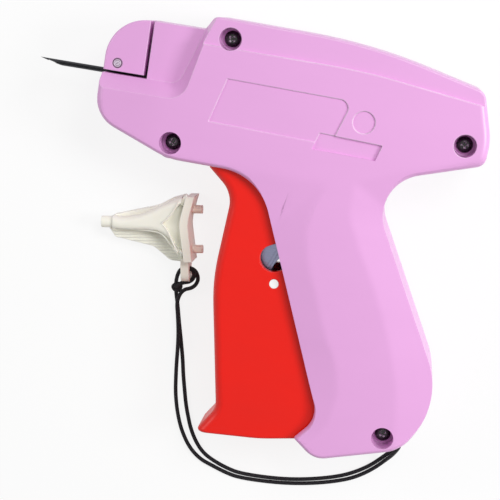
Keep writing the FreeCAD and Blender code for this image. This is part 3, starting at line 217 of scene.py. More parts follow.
def moulded_skin(n, given):
    """Fine spark-eroded grain, faint flow marks, handling scuffs, and edges made paler: partly rubbed wear,
    partly a painted highlight.
    """
    place = n.add("TexCoord").outputs["Object"]
    cloud = n.noise(place, 28.0, 3.0, 0.55)
    flow = n.noise(n.stretched(place, Scale=(30, 90, 60)), 1.0, 4.0, 0.6)
    speck = n.noise(place, 2600.0, 1.0)
    drawn_out = n.stretched(place, Rotation=(0, 0, 0.6), Scale=(140, 1500, 300))
    scuff = n.remap(n.noise(drawn_out, 1.0, 2.0, 0.4), 0.66, 0.74, 0.0, 1.0)
    scuff = n.math("MULTIPLY", scuff, n.remap(cloud, 0.5, 0.62, 0.0, 1.0))
    normal = n.add("NewGeometry").outputs["Normal"]
    soft_edge = n.add("Bevel", {"Radius": given["Edge"]}, samples=6).outputs[0]
    facing = n.add("VectorMath", {0: soft_edge, 1: normal}, operation="DOT_PRODUCT").outputs["Value"]
    # Edges are blended towards white: partly rubbed wear, partly a painted highlight along rims and ridges.
    worn_and_highlit = n.math("MULTIPLY", n.remap(facing, 0.995, 0.9, 0.0, 1.0), n.remap(cloud, 0.35, 0.7, 0.4, 1.0))
    worn_and_highlit = n.math("MULTIPLY", worn_and_highlit, n.math("SUBTRACT", 1.0, given["Level"]))
    worn_and_highlit = n.math("MULTIPLY", worn_and_highlit, given["Wear"], clamp=True)
    tint = n.math("ADD", n.math("MULTIPLY", n.math("SUBTRACT", cloud, 0.5), given["Blotch"]),
                  n.math("MULTIPLY", n.math("SUBTRACT", flow, 0.5), given["Blotch"]))
    colour = n.add("HueSaturation", {"Color": n.mix(worn_and_highlit, given["Colour"], (1, 1, 1, 1)),
                                     "Value": n.math("ADD", tint, 1.0)}).outputs[0]
    gloss = n.math("ADD", given["Roughness"], n.math("MULTIPLY", n.math("SUBTRACT", flow, 0.5), 0.12))
    gloss = n.math("ADD", gloss, n.math("MULTIPLY", scuff, 0.12), clamp=True)
    # Level turns the soft edge's normal straight up or down, before the form bends it.
    side = n.math("SIGN", n.add("SeparateXYZ", {0: normal}).outputs["Z"])
    upright = n.add("CombineXYZ", {"Z": side}).outputs[0]
    turn = n.add("VectorMath", {0: upright, 1: soft_edge}, operation="SUBTRACT").outputs[0]
    level = n.add("VectorMath", {0: turn, 1: given["Level"], 2: soft_edge}, operation="MULTIPLY_ADD")
    level = n.add("VectorMath", {0: level.outputs[0]}, operation="NORMALIZE").outputs[0]
    form = n.add("Bump", {"Height": given["Form"], "Distance": 1.0, "Strength": 1.0, "Normal": level})
    height = n.math("ADD", speck, n.math("MULTIPLY", scuff, 0.4))
    bump = n.add("Bump", {"Height": height, "Normal": form.outputs[0], "Distance": 0.00003,
                          "Strength": given["Grain"]})
    return {"Colour": colour, "Roughness": gloss, "Normal": bump.outputs[0]}


# The two ridges of the handle's side, as (y, x) in millimetres from the foot up.
FRONT_RIDGE = [(-90, -18), (-69, 4), (-62, 10.8), (-55.7, 13.2), (-45.9, 13.9), (-36.7, 11.7), (-29, 7.5),
               (-16, 2.0), (-3, -3.2), (4.7, -4.9), (11.6, -4.9), (20, -2.4), (38, 6)]
REAR_RIDGE = [(-90, 46), (-60, 36.4), (-45.6, 34.4), (-32, 30.6), (-22, 26.5), (-11.5, 21.6), (8, 11),
              (15, 8.1), (20, 8), (38, 9)]
RIDGE_Y, RIDGE_X = (-90, 40), (-20, 60)


def grip_form(n, given):
    """The soft ridges between the handle's level cheek and its leaning front and rear flanks."""
    split = n.add("SeparateXYZ", {0: n.add("TexCoord").outputs["Object"]}).outputs
    x, y = split["X"], split["Y"]
    along = n.remap(y, RIDGE_Y[0] * MM, RIDGE_Y[1] * MM, 0.0, 1.0)

    def ridge(points):
        """The ridge's x at each y, from a curve over the handle's height."""
        line = n.add("FloatCurve", {"Value": along})
        curve = line.mapping.curves[0]
        spots = [[(number - low) / (high - low) for number, (low, high) in zip(point, (RIDGE_Y, RIDGE_X))]
                 for point in points]
        curve.points[0].location, curve.points[1].location = spots[0], spots[-1]
        for spot in spots[1:-1]:
            curve.points.new(*spot)
        line.mapping.update()
        return n.remap(line.outputs[0], 0.0, 1.0, RIDGE_X[0] * MM, RIDGE_X[1] * MM)

    def beyond(distance, soft):
        """A distance that is nought until it grows past zero, with a soft start."""
        return n.add("Math", {0: distance, 1: 0.0, 2: soft}, operation="SMOOTH_MAX").outputs[0]

    def flank(from_ridge, from_top):
        """How far a place lies down a flank, counted from the ridge and from the flank's top."""
        nearer = n.add("Math", {0: from_ridge, 1: from_top, 2: 0.003}, operation="SMOOTH_MIN").outputs[0]
        return beyond(nearer, 0.0022)

    # The front flank starts below a level line, and the rear one below a slanting line.
    front_top = n.math("MULTIPLY", n.math("SUBTRACT", 0.0235, y), 0.7)
    front = flank(n.math("SUBTRACT", ridge(FRONT_RIDGE), x), front_top)
    rear_top = n.add("Math", {0: x, 1: 0.39, 2: 0.0225}, operation="MULTIPLY_ADD").outputs[0]
    rear = flank(n.math("SUBTRACT", x, ridge(REAR_RIDGE)), n.math("SUBTRACT", rear_top, y))
    # The side also falls away a little towards the nose.
    nose = n.math("MULTIPLY", beyond(n.math("SUBTRACT", -0.062, x), 0.006), 0.4)
    form = n.math("ADD", n.math("ADD", front, nose), rear)
    # Where the solid leans only a little, its shade is levelled, so that this form alone gives the lean.
    normal = n.add("SeparateXYZ", {0: n.add("NewGeometry").outputs["Normal"]})
    upright = n.remap(n.math("ABSOLUTE", normal.outputs["Z"]), 0.84, 0.88, 0.0, 1.0)
    level = n.math("MULTIPLY", upright, n.remap(y, 0.034, 0.038, 1.0, 0.0))
    return {"Form": n.math("MULTIPLY", form, given["Lean"]), "Level": level}


def worked_steel(n, given):
    """Grinding lines along one direction, thin oil stains, and bright rubbed edges."""
    place = n.add("TexCoord").outputs["Object"]
    lines = n.noise(n.stretched(place, Scale=given["Lines"]), 1.0, 3.0, 0.7)
    stain = n.noise(place, 220.0, 4.0, 0.6)
    soft_edge = n.add("Bevel", {"Radius": 0.00015}, samples=4).outputs[0]
    tone = n.remap(n.math("ADD", lines, n.math("MULTIPLY", stain, 0.6)), 0.4, 1.2, 0.78, 1.15)
    colour = n.add("HueSaturation", {"Color": given["Colour"], "Value": tone}).outputs[0]
    gloss = n.math("MULTIPLY", n.math("SUBTRACT", stain, 0.5), 0.3)
    gloss = n.math("ADD", given["Roughness"], gloss, clamp=True)
    bump = n.add("Bump", {"Height": lines, "Normal": soft_edge, "Distance": 0.00002, "Strength": 0.35})
    return {"Colour": colour, "Roughness": gloss, "Normal": bump.outputs[0]}


YARNS_ROUND = 4


def braided_yarn(n, given):
    """Two sets of yarns that cross round a cord, from its own UV map, with painted shade where the yarns dip
    under.
    """
    split = n.add("SeparateXYZ", {0: n.add("UVMap").outputs[0]})
    along = n.math("MULTIPLY", split.outputs[0], given["Turns"])
    around = n.math("MULTIPLY", split.outputs[1], YARNS_ROUND * 2 * math.pi)
    left = n.math("SINE", n.math("ADD", along, around), 0)
    right = n.math("SINE", n.math("SUBTRACT", along, around), 0)
    over = n.math("MAXIMUM", left, right)
    fuzz = n.noise(n.add("TexCoord").outputs["Object"], 9000.0, 2.0)
    # The yarns are darker where they dip under the others: painted shade between the yarns, plus random
    # fuzz.
    tone = n.math("ADD", n.remap(over, -0.4, 1.0, 0.55, 1.25), n.remap(fuzz, 0.3, 0.7, -0.2, 0.25))
    colour = n.add("HueSaturation", {"Color": given["Colour"], "Value": tone}).outputs[0]
    height = n.math("ADD", over, n.math("MULTIPLY", fuzz, 0.5))
    bump = n.add("Bump", {"Height": height, "Distance": 0.00008, "Strength": 0.8})
    return {"Colour": colour, "Roughness": n.remap(fuzz, 0.3, 0.7, 0.62, 0.85), "Normal": bump.outputs[0]}


SURFACE = [("Colour", "Color"), ("Roughness", "Float"), ("Normal", "Vector")]
MOULDED_SKIN = shader_group("moulded_skin", [
    ("Colour", "Color", (1, 1, 1, 1)), ("Roughness", "Float", 0.4), ("Grain", "Float", 0.3),
    ("Blotch", "Float", 0.05), ("Edge", "Float", 0.0003), ("Wear", "Float", 0.2),
    ("Form", "Float", 0.0), ("Level", "Float", 0.0)], SURFACE, moulded_skin)
WORKED_STEEL = shader_group("worked_steel", [
    ("Colour", "Color", (0.5, 0.5, 0.5, 1)), ("Roughness", "Float", 0.3),
    ("Lines", "Vector", (60, 4000, 4000))], SURFACE, worked_steel)
GRIP_FORM = shader_group("grip_form", [("Lean", "Float", -0.17)], [("Form", "Float"), ("Level", "Float")],
                         grip_form)
BRAIDED_YARN = shader_group("braided_yarn", [
    ("Colour", "Color", (0.02, 0.02, 0.02, 1)), ("Turns", "Float", 1500.0)], SURFACE, braided_yarn)


def finish(name, group, values, **shader):
    """A material whose colour, roughness and normal come from a node group."""
    material = bpy.data.materials.new(name)
    material.use_nodes = True
    n = Nodes(material.node_tree)
    body = material.node_tree.nodes["Principled BSDF"]
    skin = material.node_tree.nodes.new("ShaderNodeGroup")
    skin.node_tree = group
    for label, number in values.items():
        skin.inputs[label].default_value = number
    for label, socket in (("Colour", "Base Color"), ("Roughness", "Roughness"), ("Normal", "Normal")):
        n.tree.links.new(skin.outputs[label], body.inputs[socket])
    for label, number in shader.items():
        body.inputs[label.replace("_", " ")].default_value = number
    material.diffuse_color = values["Colour"]
    return material


def parting_line(material):
    """A thin dark line where the casing halves meet."""
    n = Nodes(material.node_tree)
    body = material.node_tree.nodes["Principled BSDF"]
    height = n.add("SeparateXYZ", {0: n.add("TexCoord").outputs["Object"]}).outputs["Z"]
    away = n.math("ABSOLUTE", n.math("SUBTRACT", height, MIDDLE * MM))
    line = n.remap(away, 0.00006, 0.00012, 1.0, 0.0)
    old = body.inputs["Base Color"].links[0].from_socket
    n.tree.links.new(n.mix(line, old, (0.25, 0.1, 0.23, 1)), body.inputs["Base Color"])


def shape_grip(material):
    """Lets the handle's soft ridges bend the light."""
    tree = material.node_tree
    form = tree.nodes.new("ShaderNodeGroup")
    form.node_tree = GRIP_FORM
    skin = next(node for node in tree.nodes if node.type == "GROUP" and node.node_tree == MOULDED_SKIN)
    for label in ("Form", "Level"):
        tree.links.new(form.outputs[label], skin.inputs[label])


FINISHES = {
    # On the casing the strong edge paling is mostly a painted highlight along its rims, ridges and recess
    # edges.
    "casing_pink": finish("pink_polystyrene", MOULDED_SKIN, {
        "Colour": (0.75, 0.372, 0.705, 1), "Roughness": 0.36, "Grain": 0.2, "Blotch": 0.035, "Edge": 0.00045,
        "Wear": 0.5}, Coat_Weight=0.12, Coat_Roughness=0.18),
    "trigger_red": finish("red_abs", MOULDED_SKIN, {
        "Colour": (0.82, 0.010, 0.004, 1), "Roughness": 0.33, "Grain": 0.14, "Blotch": 0.08, "Edge": 0.0006,
        "Wear": 0.06}, Specular_IOR_Level=0.3),
    "cap_ivory": finish("ivory_polyethylene", MOULDED_SKIN, {
        "Colour": (0.90, 0.89, 0.79, 1), "Roughness": 0.42, "Grain": 0.3, "Blotch": 0.10, "Edge": 0.00035,
        "Wear": 0.25}, Subsurface_Weight=0.25, Subsurface_Scale=0.001, Subsurface_Radius=(1, 0.95, 0.8)),
    "black_plastic": finish("black_polyamide", MOULDED_SKIN, {
        "Colour": (0.014, 0.014, 0.015, 1), "Roughness": 0.38, "Grain": 0.4, "Blotch": 0.2, "Edge": 0.0003,
        "Wear": 0.04}),
    "white_plastic": finish("white_acetal", MOULDED_SKIN, {
        "Colour": (0.93, 0.93, 0.92, 1), "Roughness": 0.3, "Grain": 0.15, "Blotch": 0.04, "Edge": 0.0002,
        "Wear": 0.1}),
    "dark_screws": finish("black_zinc", WORKED_STEEL, {
        "Colour": (0.003, 0.002, 0.003, 1), "Roughness": 0.16, "Lines": (900, 900, 900)},
        Specular_IOR_Level=0.5),
    "bright_steel": finish("pressed_steel", WORKED_STEEL, {
        "Colour": (0.25, 0.26, 0.37, 1), "Roughness": 0.32, "Lines": (300, 2600, 2600)}, Metallic=1.0),
    "needle_steel": finish("hardened_steel", WORKED_STEEL, {
        "Colour": (0.05, 0.05, 0.055, 1), "Roughness": 0.3, "Lines": (120, 5200, 5200)}, Metallic=0.95),
    "black_rubber": finish("moulded_rubber", MOULDED_SKIN, {
        "Colour": (0.022, 0.022, 0.022, 1), "Roughness": 0.75, "Grain": 0.6, "Blotch": 0.3, "Edge": 0.0003,
        "Wear": 0.03}),
    "black_cord": finish("braided_polyester", BRAIDED_YARN, {"Colour": (0.016, 0.015, 0.018, 1)},
                         Sheen_Weight=0.08, Sheen_Roughness=0.4, Specular_IOR_Level=0.15),
}
# Light grey for the sides of the screws' cross recess: partly driver wear, partly a painted glint.
WORN_ZINC_AND_GLINT = finish("driver_worn_zinc_and_painted_glint", WORKED_STEEL, {
    "Colour": (0.85, 0.80, 0.85, 1), "Roughness": 0.3, "Lines": (1500, 1500, 1500)}, Metallic=0.15)
TURNED_PIN = finish("turned_pin", WORKED_STEEL, {
    "Colour": (0.62, 0.54, 0.64, 1), "Roughness": 0.35, "Lines": (500, 500, 500)}, Metallic=0.35)
# Dark grey for the lock pin's groove floors and punch mark: painted shade.
GROOVE_PAINTED_SHADE = finish("groove_painted_shade", WORKED_STEEL, {
    "Colour": (0.17, 0.08, 0.16, 1), "Roughness": 0.5, "Lines": (500, 500, 500)}, Metallic=0.2)
parting_line(FINISHES["casing_pink"])
shape_grip(FINISHES["casing_pink"])
SLOTS = {part["node"]: part["material_slot"] for part in frame["record"]["subparts"]}

# ---------------------------------------------------------------- cord and knot

CORD_RADIUS = 0.72
# The cord's middle line from the hole in the butt through the cap's tab and back, in millimetres.
ROUTE = [
    (38.9, -57.4, 15.9), (39.5, -64.8, 15.9), (37.8, -70.7, 9.6), (35.6, -75.8, 2.6), (31.2, -81.1, 0.8),
    (25.1, -85.5, 0.8), (18.2, -88.3, 0.8), (9.8, -90.7, 0.8), (0.9, -92.4, 0.8),
    (-8.1, -93.3, 0.8), (-17.2, -93.6, 0.8), (-22.2, -92.6, 0.8), (-27.2, -91.0, 0.8), (-32, -89.4, 0.8),
    (-36.6, -85.8, 0.8), (-40.4, -80, 0.8), (-42.6, -74.6, 0.8), (-43.9, -70.2, 0.8), (-45, -65.2, 0.8),
    (-45.6, -59.6, 1.2), (-46, -54.4, 2.0), (-46.3, -49, 2.5), (-46.9, -43, 2.6), (-48.1, -36.4, 2.8),
    (-49.2, -31.2, 3.4), (-47.8, -26.7, 3.2), (-43.9, -25.4, 2.8), (-42.1, -21.6, 4.4), (-44.2, -17.6, 5.5),
    (-49.2, -18.2, 5.5), (-50.6, -22.8, 3.8), (-50.2, -28.2, 1.6),
    (-49, -33, 0.8), (-47.6, -38.9, 0.8), (-46.4, -43.6, 0.8), (-45.2, -48.4, 0.8), (-44, -53.4, 0.8),
    (-43.1, -58.3, 0.8), (-41.9, -63.4, 0.8), (-40.4, -69.6, 0.8), (-38.9, -74.0, 0.8), (-37.4, -78.1, 0.8),
    (-34.8, -82.8, 0.8), (-31.2, -86.9, 0.8), (-26.4, -89.3, 0.8), (-21.6, -90.9, 0.8), (-17, -91.9, 0.8),
    (-8, -91.7, 0.8), (1.1, -90.8, 0.8), (9.5, -89.1, 0.8), (17.7, -86.7, 0.8), (24, -84, 0.8),
    (30.1, -79.9, 0.8), (34.5, -75, 1.9), (37.4, -69.4, 8.5), (39.5, -64.8, 14.1),
    (38.9, -57.4, 14.1)]
KNOT_MIDDLE = Vector((-49.9, -26.2, 2.35))
KNOT_TURNS = [(0.0, 1.5, 0.72), (1.35, 0.5, -0.72), (0.6, -1.3, 0.72), (-1.1, -1.1, -0.72),
              (-1.5, 0.3, 0.72), (-0.3, 0.9, -0.64), (1.0, -0.3, 0.72), (0.5, -0.9, -0.72), (-1.0, 0.9, 0.4)]
KNOT_STRAND = [(-50.4, -26.2, 3.0), (-49.4, -25.0, 3.8), (-47.5, -23.5, 4.8), (-45.6, -23.0, 5.4),
               (-44.2, -21.6, 6.0), (-43.8, -19.8, 6.4), (-44.6, -18.2, 5.8), (-45.6, -18.0, 5.4)]
KNOT_SWELL = 1.12


def make_knot():
    """The overhand knot that ties the doubled cord under the cap's tab, with one strand over the loop."""
    turns = [KNOT_MIDDLE + Vector(step) for step in KNOT_TURNS]
    knot = round_curve("tied_knot", turns, CORD_RADIUS * KNOT_SWELL, closed=True)
    add_strand(knot.data, KNOT_STRAND)
    knot.data.materials.append(FINISHES["black_cord"])
    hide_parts("lanyard_knot")
    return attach(knot, "root")


def make_lanyard(knot):
    """The cord that keeps the needle cap with the tool."""
    cord = round_curve("lanyard_cord", ROUTE, CORD_RADIUS)
    cord.data.materials.append(FINISHES["black_cord"])
    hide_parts("lanyard")
    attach(cord, "root")


# ---------------------------------------------------------------- screws

# The place of each screw in millimetres, and the turn of its cross in degrees.
SCREW_PLACES = [(-55.8, 28.2, 20), (-40.9, 65.8, 55), (41.8, 43.6, 5), (32.1, -60.0, 38)]
SCREW_SEAT = 22.4
HEAD_RADIUS, HEAD_HEIGHT, HEAD_ROUNDING = 2.8, 2.2, 1.7
HEAD_BRIM, DOME_HEIGHT = 0.4, 0.85
CROSS_SIZE, CROSS_TAPER = (3.9, 1.0, 2.6), (0.4, 0.55)
SHANK_LENGTH, SHANK_RADIUS, POINT_RADIUS = 17.0, 1.15, 0.7
THREAD_RADIUS, THREAD_PITCH, THREAD_TURNS, TURN_STEPS = 1.45, 1.1, 14.5, 20


def screw_head():
    """A pan head with a cross recess, standing on z = 0."""
    work = bmesh.new()
    bmesh.ops.create_circle(work, cap_ends=True, radius=HEAD_RADIUS * MM, segments=48)
    top = bmesh.ops.extrude_face_region(work, geom=work.faces[:])["geom"]
    bmesh.ops.translate(work, verts=[corner for corner in top if isinstance(corner, bmesh.types.BMVert)],
                        vec=(0, 0, HEAD_HEIGHT * MM))
    rim = [edge for edge in work.edges if all(corner.co.z > HEAD_HEIGHT * MM / 2 for corner in edge.verts)]
    bmesh.ops.bevel(work, geom=rim, offset=HEAD_ROUNDING * MM, offset_type="OFFSET", segments=9, profile=0.5,
                    affect="EDGES", material=-1)
    for vertex in work.verts:
        if vertex.co.z > HEAD_BRIM * MM:
            vertex.co.z = HEAD_BRIM * MM + (vertex.co.z - HEAD_BRIM * MM) * DOME_HEIGHT
    head = mesh_object("screw_head", work)
    cross = bmesh.new()
    for turn in (0, math.pi / 2):
        arm = bmesh.ops.create_cube(cross, size=1)["verts"]
        bmesh.ops.scale(cross, verts=arm, vec=[length * MM for length in CROSS_SIZE])
        for vertex in arm:
            if vertex.co.z < 0:
                vertex.co.x *= CROSS_TAPER[0]
                vertex.co.y *= CROSS_TAPER[1]
        bmesh.ops.rotate(cross, verts=arm, matrix=Matrix.Rotation(turn, 3, "Z"))
        bmesh.ops.translate(cross, verts=arm, vec=(0, 0, HEAD_HEIGHT * MM))
    cut_away(head, mesh_object("screw_cutter", cross, smooth=False))
    # The sides of the cross are light grey: partly wear by the driver, partly a painted glint.
    for face in head.data.polygons:
        in_cross = abs(face.normal.z) < 0.93 and face.center.to_2d().length < 2.0 * MM
        face.material_index = int(in_cross and max(abs(face.normal.x), abs(face.normal.y)) > 0.8)
    return head


def threaded_shank():
    """A shank with a helical thread, below z = 0."""
    work = bmesh.new()
    outline = ((SHANK_RADIUS, 0), (SHANK_RADIUS, 0.3), (THREAD_RADIUS, 0.55), (SHANK_RADIUS, 0.8),
               (SHANK_RADIUS, THREAD_PITCH))
    profile = [work.verts.new((x * MM, 0, (z - SHANK_LENGTH) * MM)) for x, z in outline]
    edges = [work.edges.new(pair) for pair in zip(profile, profile[1:])]
    bmesh.ops.spin(work, geom=profile + edges, cent=(0, 0, 0), axis=(0, 0, 1),
                   dvec=(0, 0, THREAD_PITCH * MM / TURN_STEPS), angle=2 * math.pi * THREAD_TURNS,
                   steps=int(TURN_STEPS * THREAD_TURNS), use_duplicate=False)
    bmesh.ops.remove_doubles(work, verts=work.verts[:], dist=0.01 * MM)
    bmesh.ops.holes_fill(work, edges=[edge for edge in work.edges if edge.is_boundary], sides=0)
    core = bmesh.ops.create_cone(work, cap_ends=True, segments=24, radius1=POINT_RADIUS * MM,
                                 radius2=SHANK_RADIUS * MM, depth=SHANK_LENGTH * MM)["verts"]
    bmesh.ops.translate(work, verts=core, vec=(0, 0, -SHANK_LENGTH / 2 * MM))
    return mesh_object("screw_thread", work)


def make_screws():
    """The four screws that hold the casing halves together, in one piece."""
    head, thread = screw_head(), threaded_shank()
    work = bmesh.new()
    for x, y, turn in SCREW_PLACES:
        for source in (head, thread):
            count = len(work.verts)
            work.from_mesh(source.data)
            work.verts.ensure_lookup_table()
            fresh = work.verts[count:]
            bmesh.ops.rotate(work, verts=fresh, matrix=Matrix.Rotation(math.radians(turn), 3, "Z"))
            bmesh.ops.translate(work, verts=fresh, vec=(x * MM, y * MM, SCREW_SEAT * MM))
    bpy.data.objects.remove(head)
    bpy.data.objects.remove(thread)
    screws = mesh_object("cross_screws", work)
    screws.data.set_sharp_from_angle(angle=math.radians(35))
    screws.data.materials.append(FINISHES["dark_screws"])
    screws.data.materials.append(WORN_ZINC_AND_GLINT)
    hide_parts("casing_screws")
    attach(screws, "root")


# ---------------------------------------------------------------- needle and its lock pin

NEEDLE_RADIUS, BORE_RADIUS = 0.93, 0.62
SLIT_START, SLIT_WIDTH = 3.2, 0.64
# The two grinds of the point, as an angle in degrees and a distance from the axis in millimetres.
GRINDS = ((-13, 0.95), (-24, 0.55))

PIN_X, PIN_Y = -78.6, 51.6
PIN_DEPTH, PIN_TOP = 0.3, 0.1
# The pin's rings from its rim inwards, as a radius and a height in millimetres.
PIN_RINGS = ((1.69, 0.02), (1.30, 0.02), (1.24, PIN_TOP), (1.0, PIN_TOP), (0.95, 0.05), (0.84, 0.05),
             (0.78, PIN_TOP))
MARK_CORNERS, MARK_ROUNDING, MARK_TURN = ((-0.5, -0.1, 0.09), (0.5, 0.1, 0.13)), 0.02, 38


def make_needle():
    """A slotted hollow needle, ground from one side to a lancet point."""
    low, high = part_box("needle")
    tip, back, middle = low.x / MM, high.x / MM, (low.y + high.y) / 2 / MM
    work = bmesh.new()
    rod(work, (tip, middle, MIDDLE), (back, middle, MIDDLE), NEEDLE_RADIUS, 40)
    needle = mesh_object("slotted_needle", work)
    bore = bmesh.new()
    rod(bore, (tip - 1, middle, MIDDLE), (back + 1, middle, MIDDLE), BORE_RADIUS)
    cut_away(needle, mesh_object("bore_cutter", bore))
    slit = bmesh.new()
    bar(slit, (tip + SLIT_START, middle - SLIT_WIDTH / 2, MIDDLE),
        (back + 1, middle + SLIT_WIDTH / 2, MIDDLE + 3))
    cut_away(needle, mesh_object("slit_cutter", slit))
    for angle, reach in GRINDS:
        grind = bmesh.new()
        block = bar(grind, (-14, -6, -5), (14, 0, 5))
        bmesh.ops.rotate(grind, verts=block, matrix=Matrix.Rotation(math.radians(angle), 3, "Z"))
        bmesh.ops.translate(grind, verts=block, vec=Vector((tip, middle + reach, MIDDLE)) * MM)
        cut_away(needle, mesh_object("grind_cutter", grind))
    needle.data.shade_smooth()
    needle.data.set_sharp_from_angle(angle=math.radians(30))
    needle.data.materials.append(FINISHES["needle_steel"])
    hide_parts("needle")
    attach(needle, "root")


def make_pin_face():
    """The turned end of the needle's lock pin: a rim groove, a ring and a short punch mark."""
    centre = Vector((PIN_X, PIN_Y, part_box("needle_lock")[1].z / MM))
    work = bmesh.new()
    rim, seat = PIN_RINGS[0]
    disc = bmesh.ops.create_cone(work, cap_ends=True, radius1=rim * MM, radius2=rim * MM,
                                 depth=PIN_DEPTH * MM, segments=64)["verts"]
    bmesh.ops.translate(work, verts=disc, vec=(centre + Vector((0, 0, seat - PIN_DEPTH / 2))) * MM)
    work.normal_update()
    face = [side for side in work.faces if side.normal.z > 0.9]
    dark = []
    for (outer, before), (inner, after) in zip(PIN_RINGS, PIN_RINGS[1:]):
        strips = bmesh.ops.inset_region(work, faces=face, thickness=(outer - inner) * MM, use_boundary=True,
                                        use_even_offset=True)["faces"]
        bmesh.ops.translate(work, verts=list(face[0].verts), vec=(0, 0, (after - before) * MM))
        if before == after != PIN_TOP:
            dark += strips
    mark = bar(work, *MARK_CORNERS, MARK_ROUNDING)
    bmesh.ops.rotate(work, verts=mark, matrix=Matrix.Rotation(math.radians(MARK_TURN), 3, "Z"))
    bmesh.ops.translate(work, verts=mark, vec=centre * MM)
    # The two groove floors and the punch mark take the dark grey, as painted shade.
    for strip in [*dark, *(side for corner in mark for side in corner.link_faces)]:
        strip.material_index = 1
    pin = mesh_object("lock_pin_face", work, smooth=False)
    pin.data.materials.append(TURNED_PIN)
    pin.data.materials.append(GROOVE_PAINTED_SHADE)
    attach(pin, "lock")


# ---------------------------------------------------------------- needle cap

CAP_PLACE = Matrix.Translation(Vector((-80, -6.5, 0)) * MM) @ Matrix.Rotation(math.radians(9), 4, "Z")
# The ribs of the lower plate, as y, start and end in millimetres on the cap's own axes.
RIBS = [(-3.6, 3.65, 22.2), (-4.68, 4.25, 24.0), (-5.76, 5.15, 25.2), (-6.84, 10.1, 25.8),
        (-7.92, 14.6, 26.55), (-9.0, 19.1, 27.3), (-10.2, 20.6, 28.2), (-11.4, 22.1, 28.95),
        (-12.6, 23.6, 29.7), (-13.68, 25.1, 30.0)]
RIB_LOW, RIB_HIGH, RIB_WIDTH, RIB_ROUNDING = 4.3, 4.86, 0.4, 0.12
STEP_PLACE, STEP_RADII, STEP_LENGTH = (4.3, 0, 6), (2.5, 2.3), 0.8
# The ridges that fork from the web, the flare's lower edge, and the thick crest in the hood's gap.
RIDGES = [
    [(22.5, 0.3, 10.5), (24.2, 1.5, 10.9), (26.0, 3.4, 11.3), (27.6, 5.6, 11.6), (28.9, 8.2, 11.8)],
    [(22.5, 0.3, 10.5), (24.2, -1.4, 10.8), (25.8, -4.3, 11.1), (27.2, -7.6, 11.4), (28.6, -9.9, 11.6)],
    [(5.2, -2.2, 6.2), (12, -2.5, 7.4), (19, -2.7, 8.6), (22.6, -3.6, 9.2), (25.4, -7.0, 9.6),
     (28.4, -11.2, 9.8)]]
CREST = [(29.5, 7.2, 9.8), (30.8, 8.7, 9.9), (32.2, 10.2, 9.9)]
RIDGE_RADIUS, CREST_THICKNESS = 0.32, 3.2


def make_cap_ridges():
    """Rounded moulding ridges along the cap's web and the flare's lower edge."""
    lines = round_curve("cap_ridges", RIDGES[0], RIDGE_RADIUS)
    for points in RIDGES[1:]:
        add_strand(lines.data, points)
    add_strand(lines.data, CREST, thickness=CREST_THICKNESS)
    lines.data.transform(CAP_PLACE)
    lines.data.materials.append(FINISHES["cap_ivory"])
    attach(lines, "root")


def make_cap_ribs():
    """Fine stiffening ribs along the cap's lower plate, and the step round its nozzle."""
    work = bmesh.new()
    for y, start, end in RIBS:
        bar(work, (start, y - RIB_WIDTH / 2, RIB_LOW), (end, y + RIB_WIDTH / 2, RIB_HIGH), RIB_ROUNDING)
    step = bmesh.ops.create_cone(work, cap_ends=True, segments=48, radius1=STEP_RADII[0] * MM,
                                 radius2=STEP_RADII[1] * MM, depth=STEP_LENGTH * MM)["verts"]
    bmesh.ops.rotate(work, verts=step, matrix=Matrix.Rotation(math.radians(-90), 3, "Y"))
    bmesh.ops.translate(work, verts=step, vec=Vector(STEP_PLACE) * MM)
    bmesh.ops.transform(work, matrix=CAP_PLACE, verts=work.verts[:])
    ribs = mesh_object("cap_ribs", work)
    ribs.data.set_sharp_from_angle(angle=math.radians(50))
    ribs.data.materials.append(FINISHES["cap_ivory"])
    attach(ribs, "root")


# Every piece of the assembly takes the material of its slot, before the finer pieces are made.
for name, node in nodes.items():
    node.data.materials.clear()
    node.data.materials.append(FINISHES[SLOTS[name]])

make_lanyard(make_knot())
make_screws()
make_needle()
make_pin_face()
make_cap_ribs()
make_cap_ridges()

# ---------------------------------------------------------------- floor and light

FLOOR_HALF = 1.5
PAPER_WHITE, PAPER_GLOW = (0.92, 0.92, 0.92, 1), 0.84
ROUND_LIGHT = 0.33
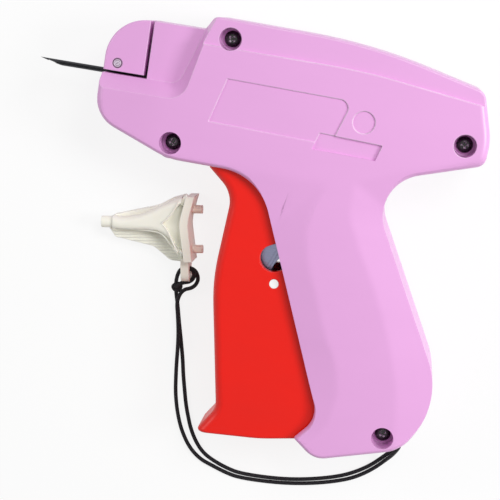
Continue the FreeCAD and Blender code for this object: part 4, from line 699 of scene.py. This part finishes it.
# Each lamp's place and width in metres, and its power in watts.
LAMPS = {"key": ((0.30, 0.45, 0.68), 0.3, 2.75), "side": ((0.48, 0.12, 0.40), 0.2, 2.1),
         "fill": ((-0.65, 0.15, 0.42), 0.3, 1.2)}
LAMP_AIM = Vector((0, 0, 0.01))


def in_sight(n):
    """One for rays that show a thing or its mirror image, and nought for rays that only light others."""
    rays = n.add("LightPath").outputs
    mirrored = n.math("MAXIMUM", rays["Is Glossy Ray"], rays["Is Transmission Ray"])
    return n.math("MAXIMUM", rays["Is Camera Ray"], mirrored)


def make_floor():
    """A sheet of white paper that takes soft shadows and looks nearly white."""
    work = bmesh.new()
    bmesh.ops.create_grid(work, x_segments=1, y_segments=1, size=FLOOR_HALF)
    floor = mesh_object("floor", work, smooth=False)
    paper = bpy.data.materials.new("white_paper")
    paper.use_nodes = True
    n = Nodes(paper.node_tree)
    body = paper.node_tree.nodes["Principled BSDF"]
    body.inputs["Base Color"].default_value = PAPER_WHITE
    body.inputs["Roughness"].default_value = 0.9
    body.inputs["Specular IOR Level"].default_value = 0.0
    glow = n.add("Emission", {"Color": (1, 1, 1, 1), "Strength": 1.0}).outputs[0]
    both = n.add("MixShader", {0: n.math("MULTIPLY", in_sight(n), PAPER_GLOW), 1: body.outputs[0], 2: glow})
    n.tree.links.new(both.outputs[0], paper.node_tree.nodes["Material Output"].inputs["Surface"])
    floor.data.materials.append(paper)


def make_lamp(name, place, size, power):
    """A square lamp that is turned to the tool."""
    lamp = bpy.data.lights.new(name, "AREA")
    lamp.size, lamp.energy = size, power
    thing = add_object(name, lamp)
    thing.location = place
    thing.rotation_euler = (LAMP_AIM - Vector(place)).to_track_quat("-Z", "Y").to_euler()


def make_world():
    """Even light from all round, which looks white and lights things less."""
    world = bpy.data.worlds.new("studio")
    world.use_nodes = True
    n = Nodes(world.node_tree)
    back = world.node_tree.nodes["Background"]
    back.inputs["Color"].default_value = (1, 1, 1, 1)
    n.tree.links.new(n.remap(in_sight(n), 0.0, 1.0, ROUND_LIGHT, 1.0), back.inputs["Strength"])
    bpy.context.scene.world = world


make_floor()
for name, numbers in LAMPS.items():
    make_lamp(name, *numbers)
make_world()
bpy.context.scene.view_settings.view_transform = "Standard"
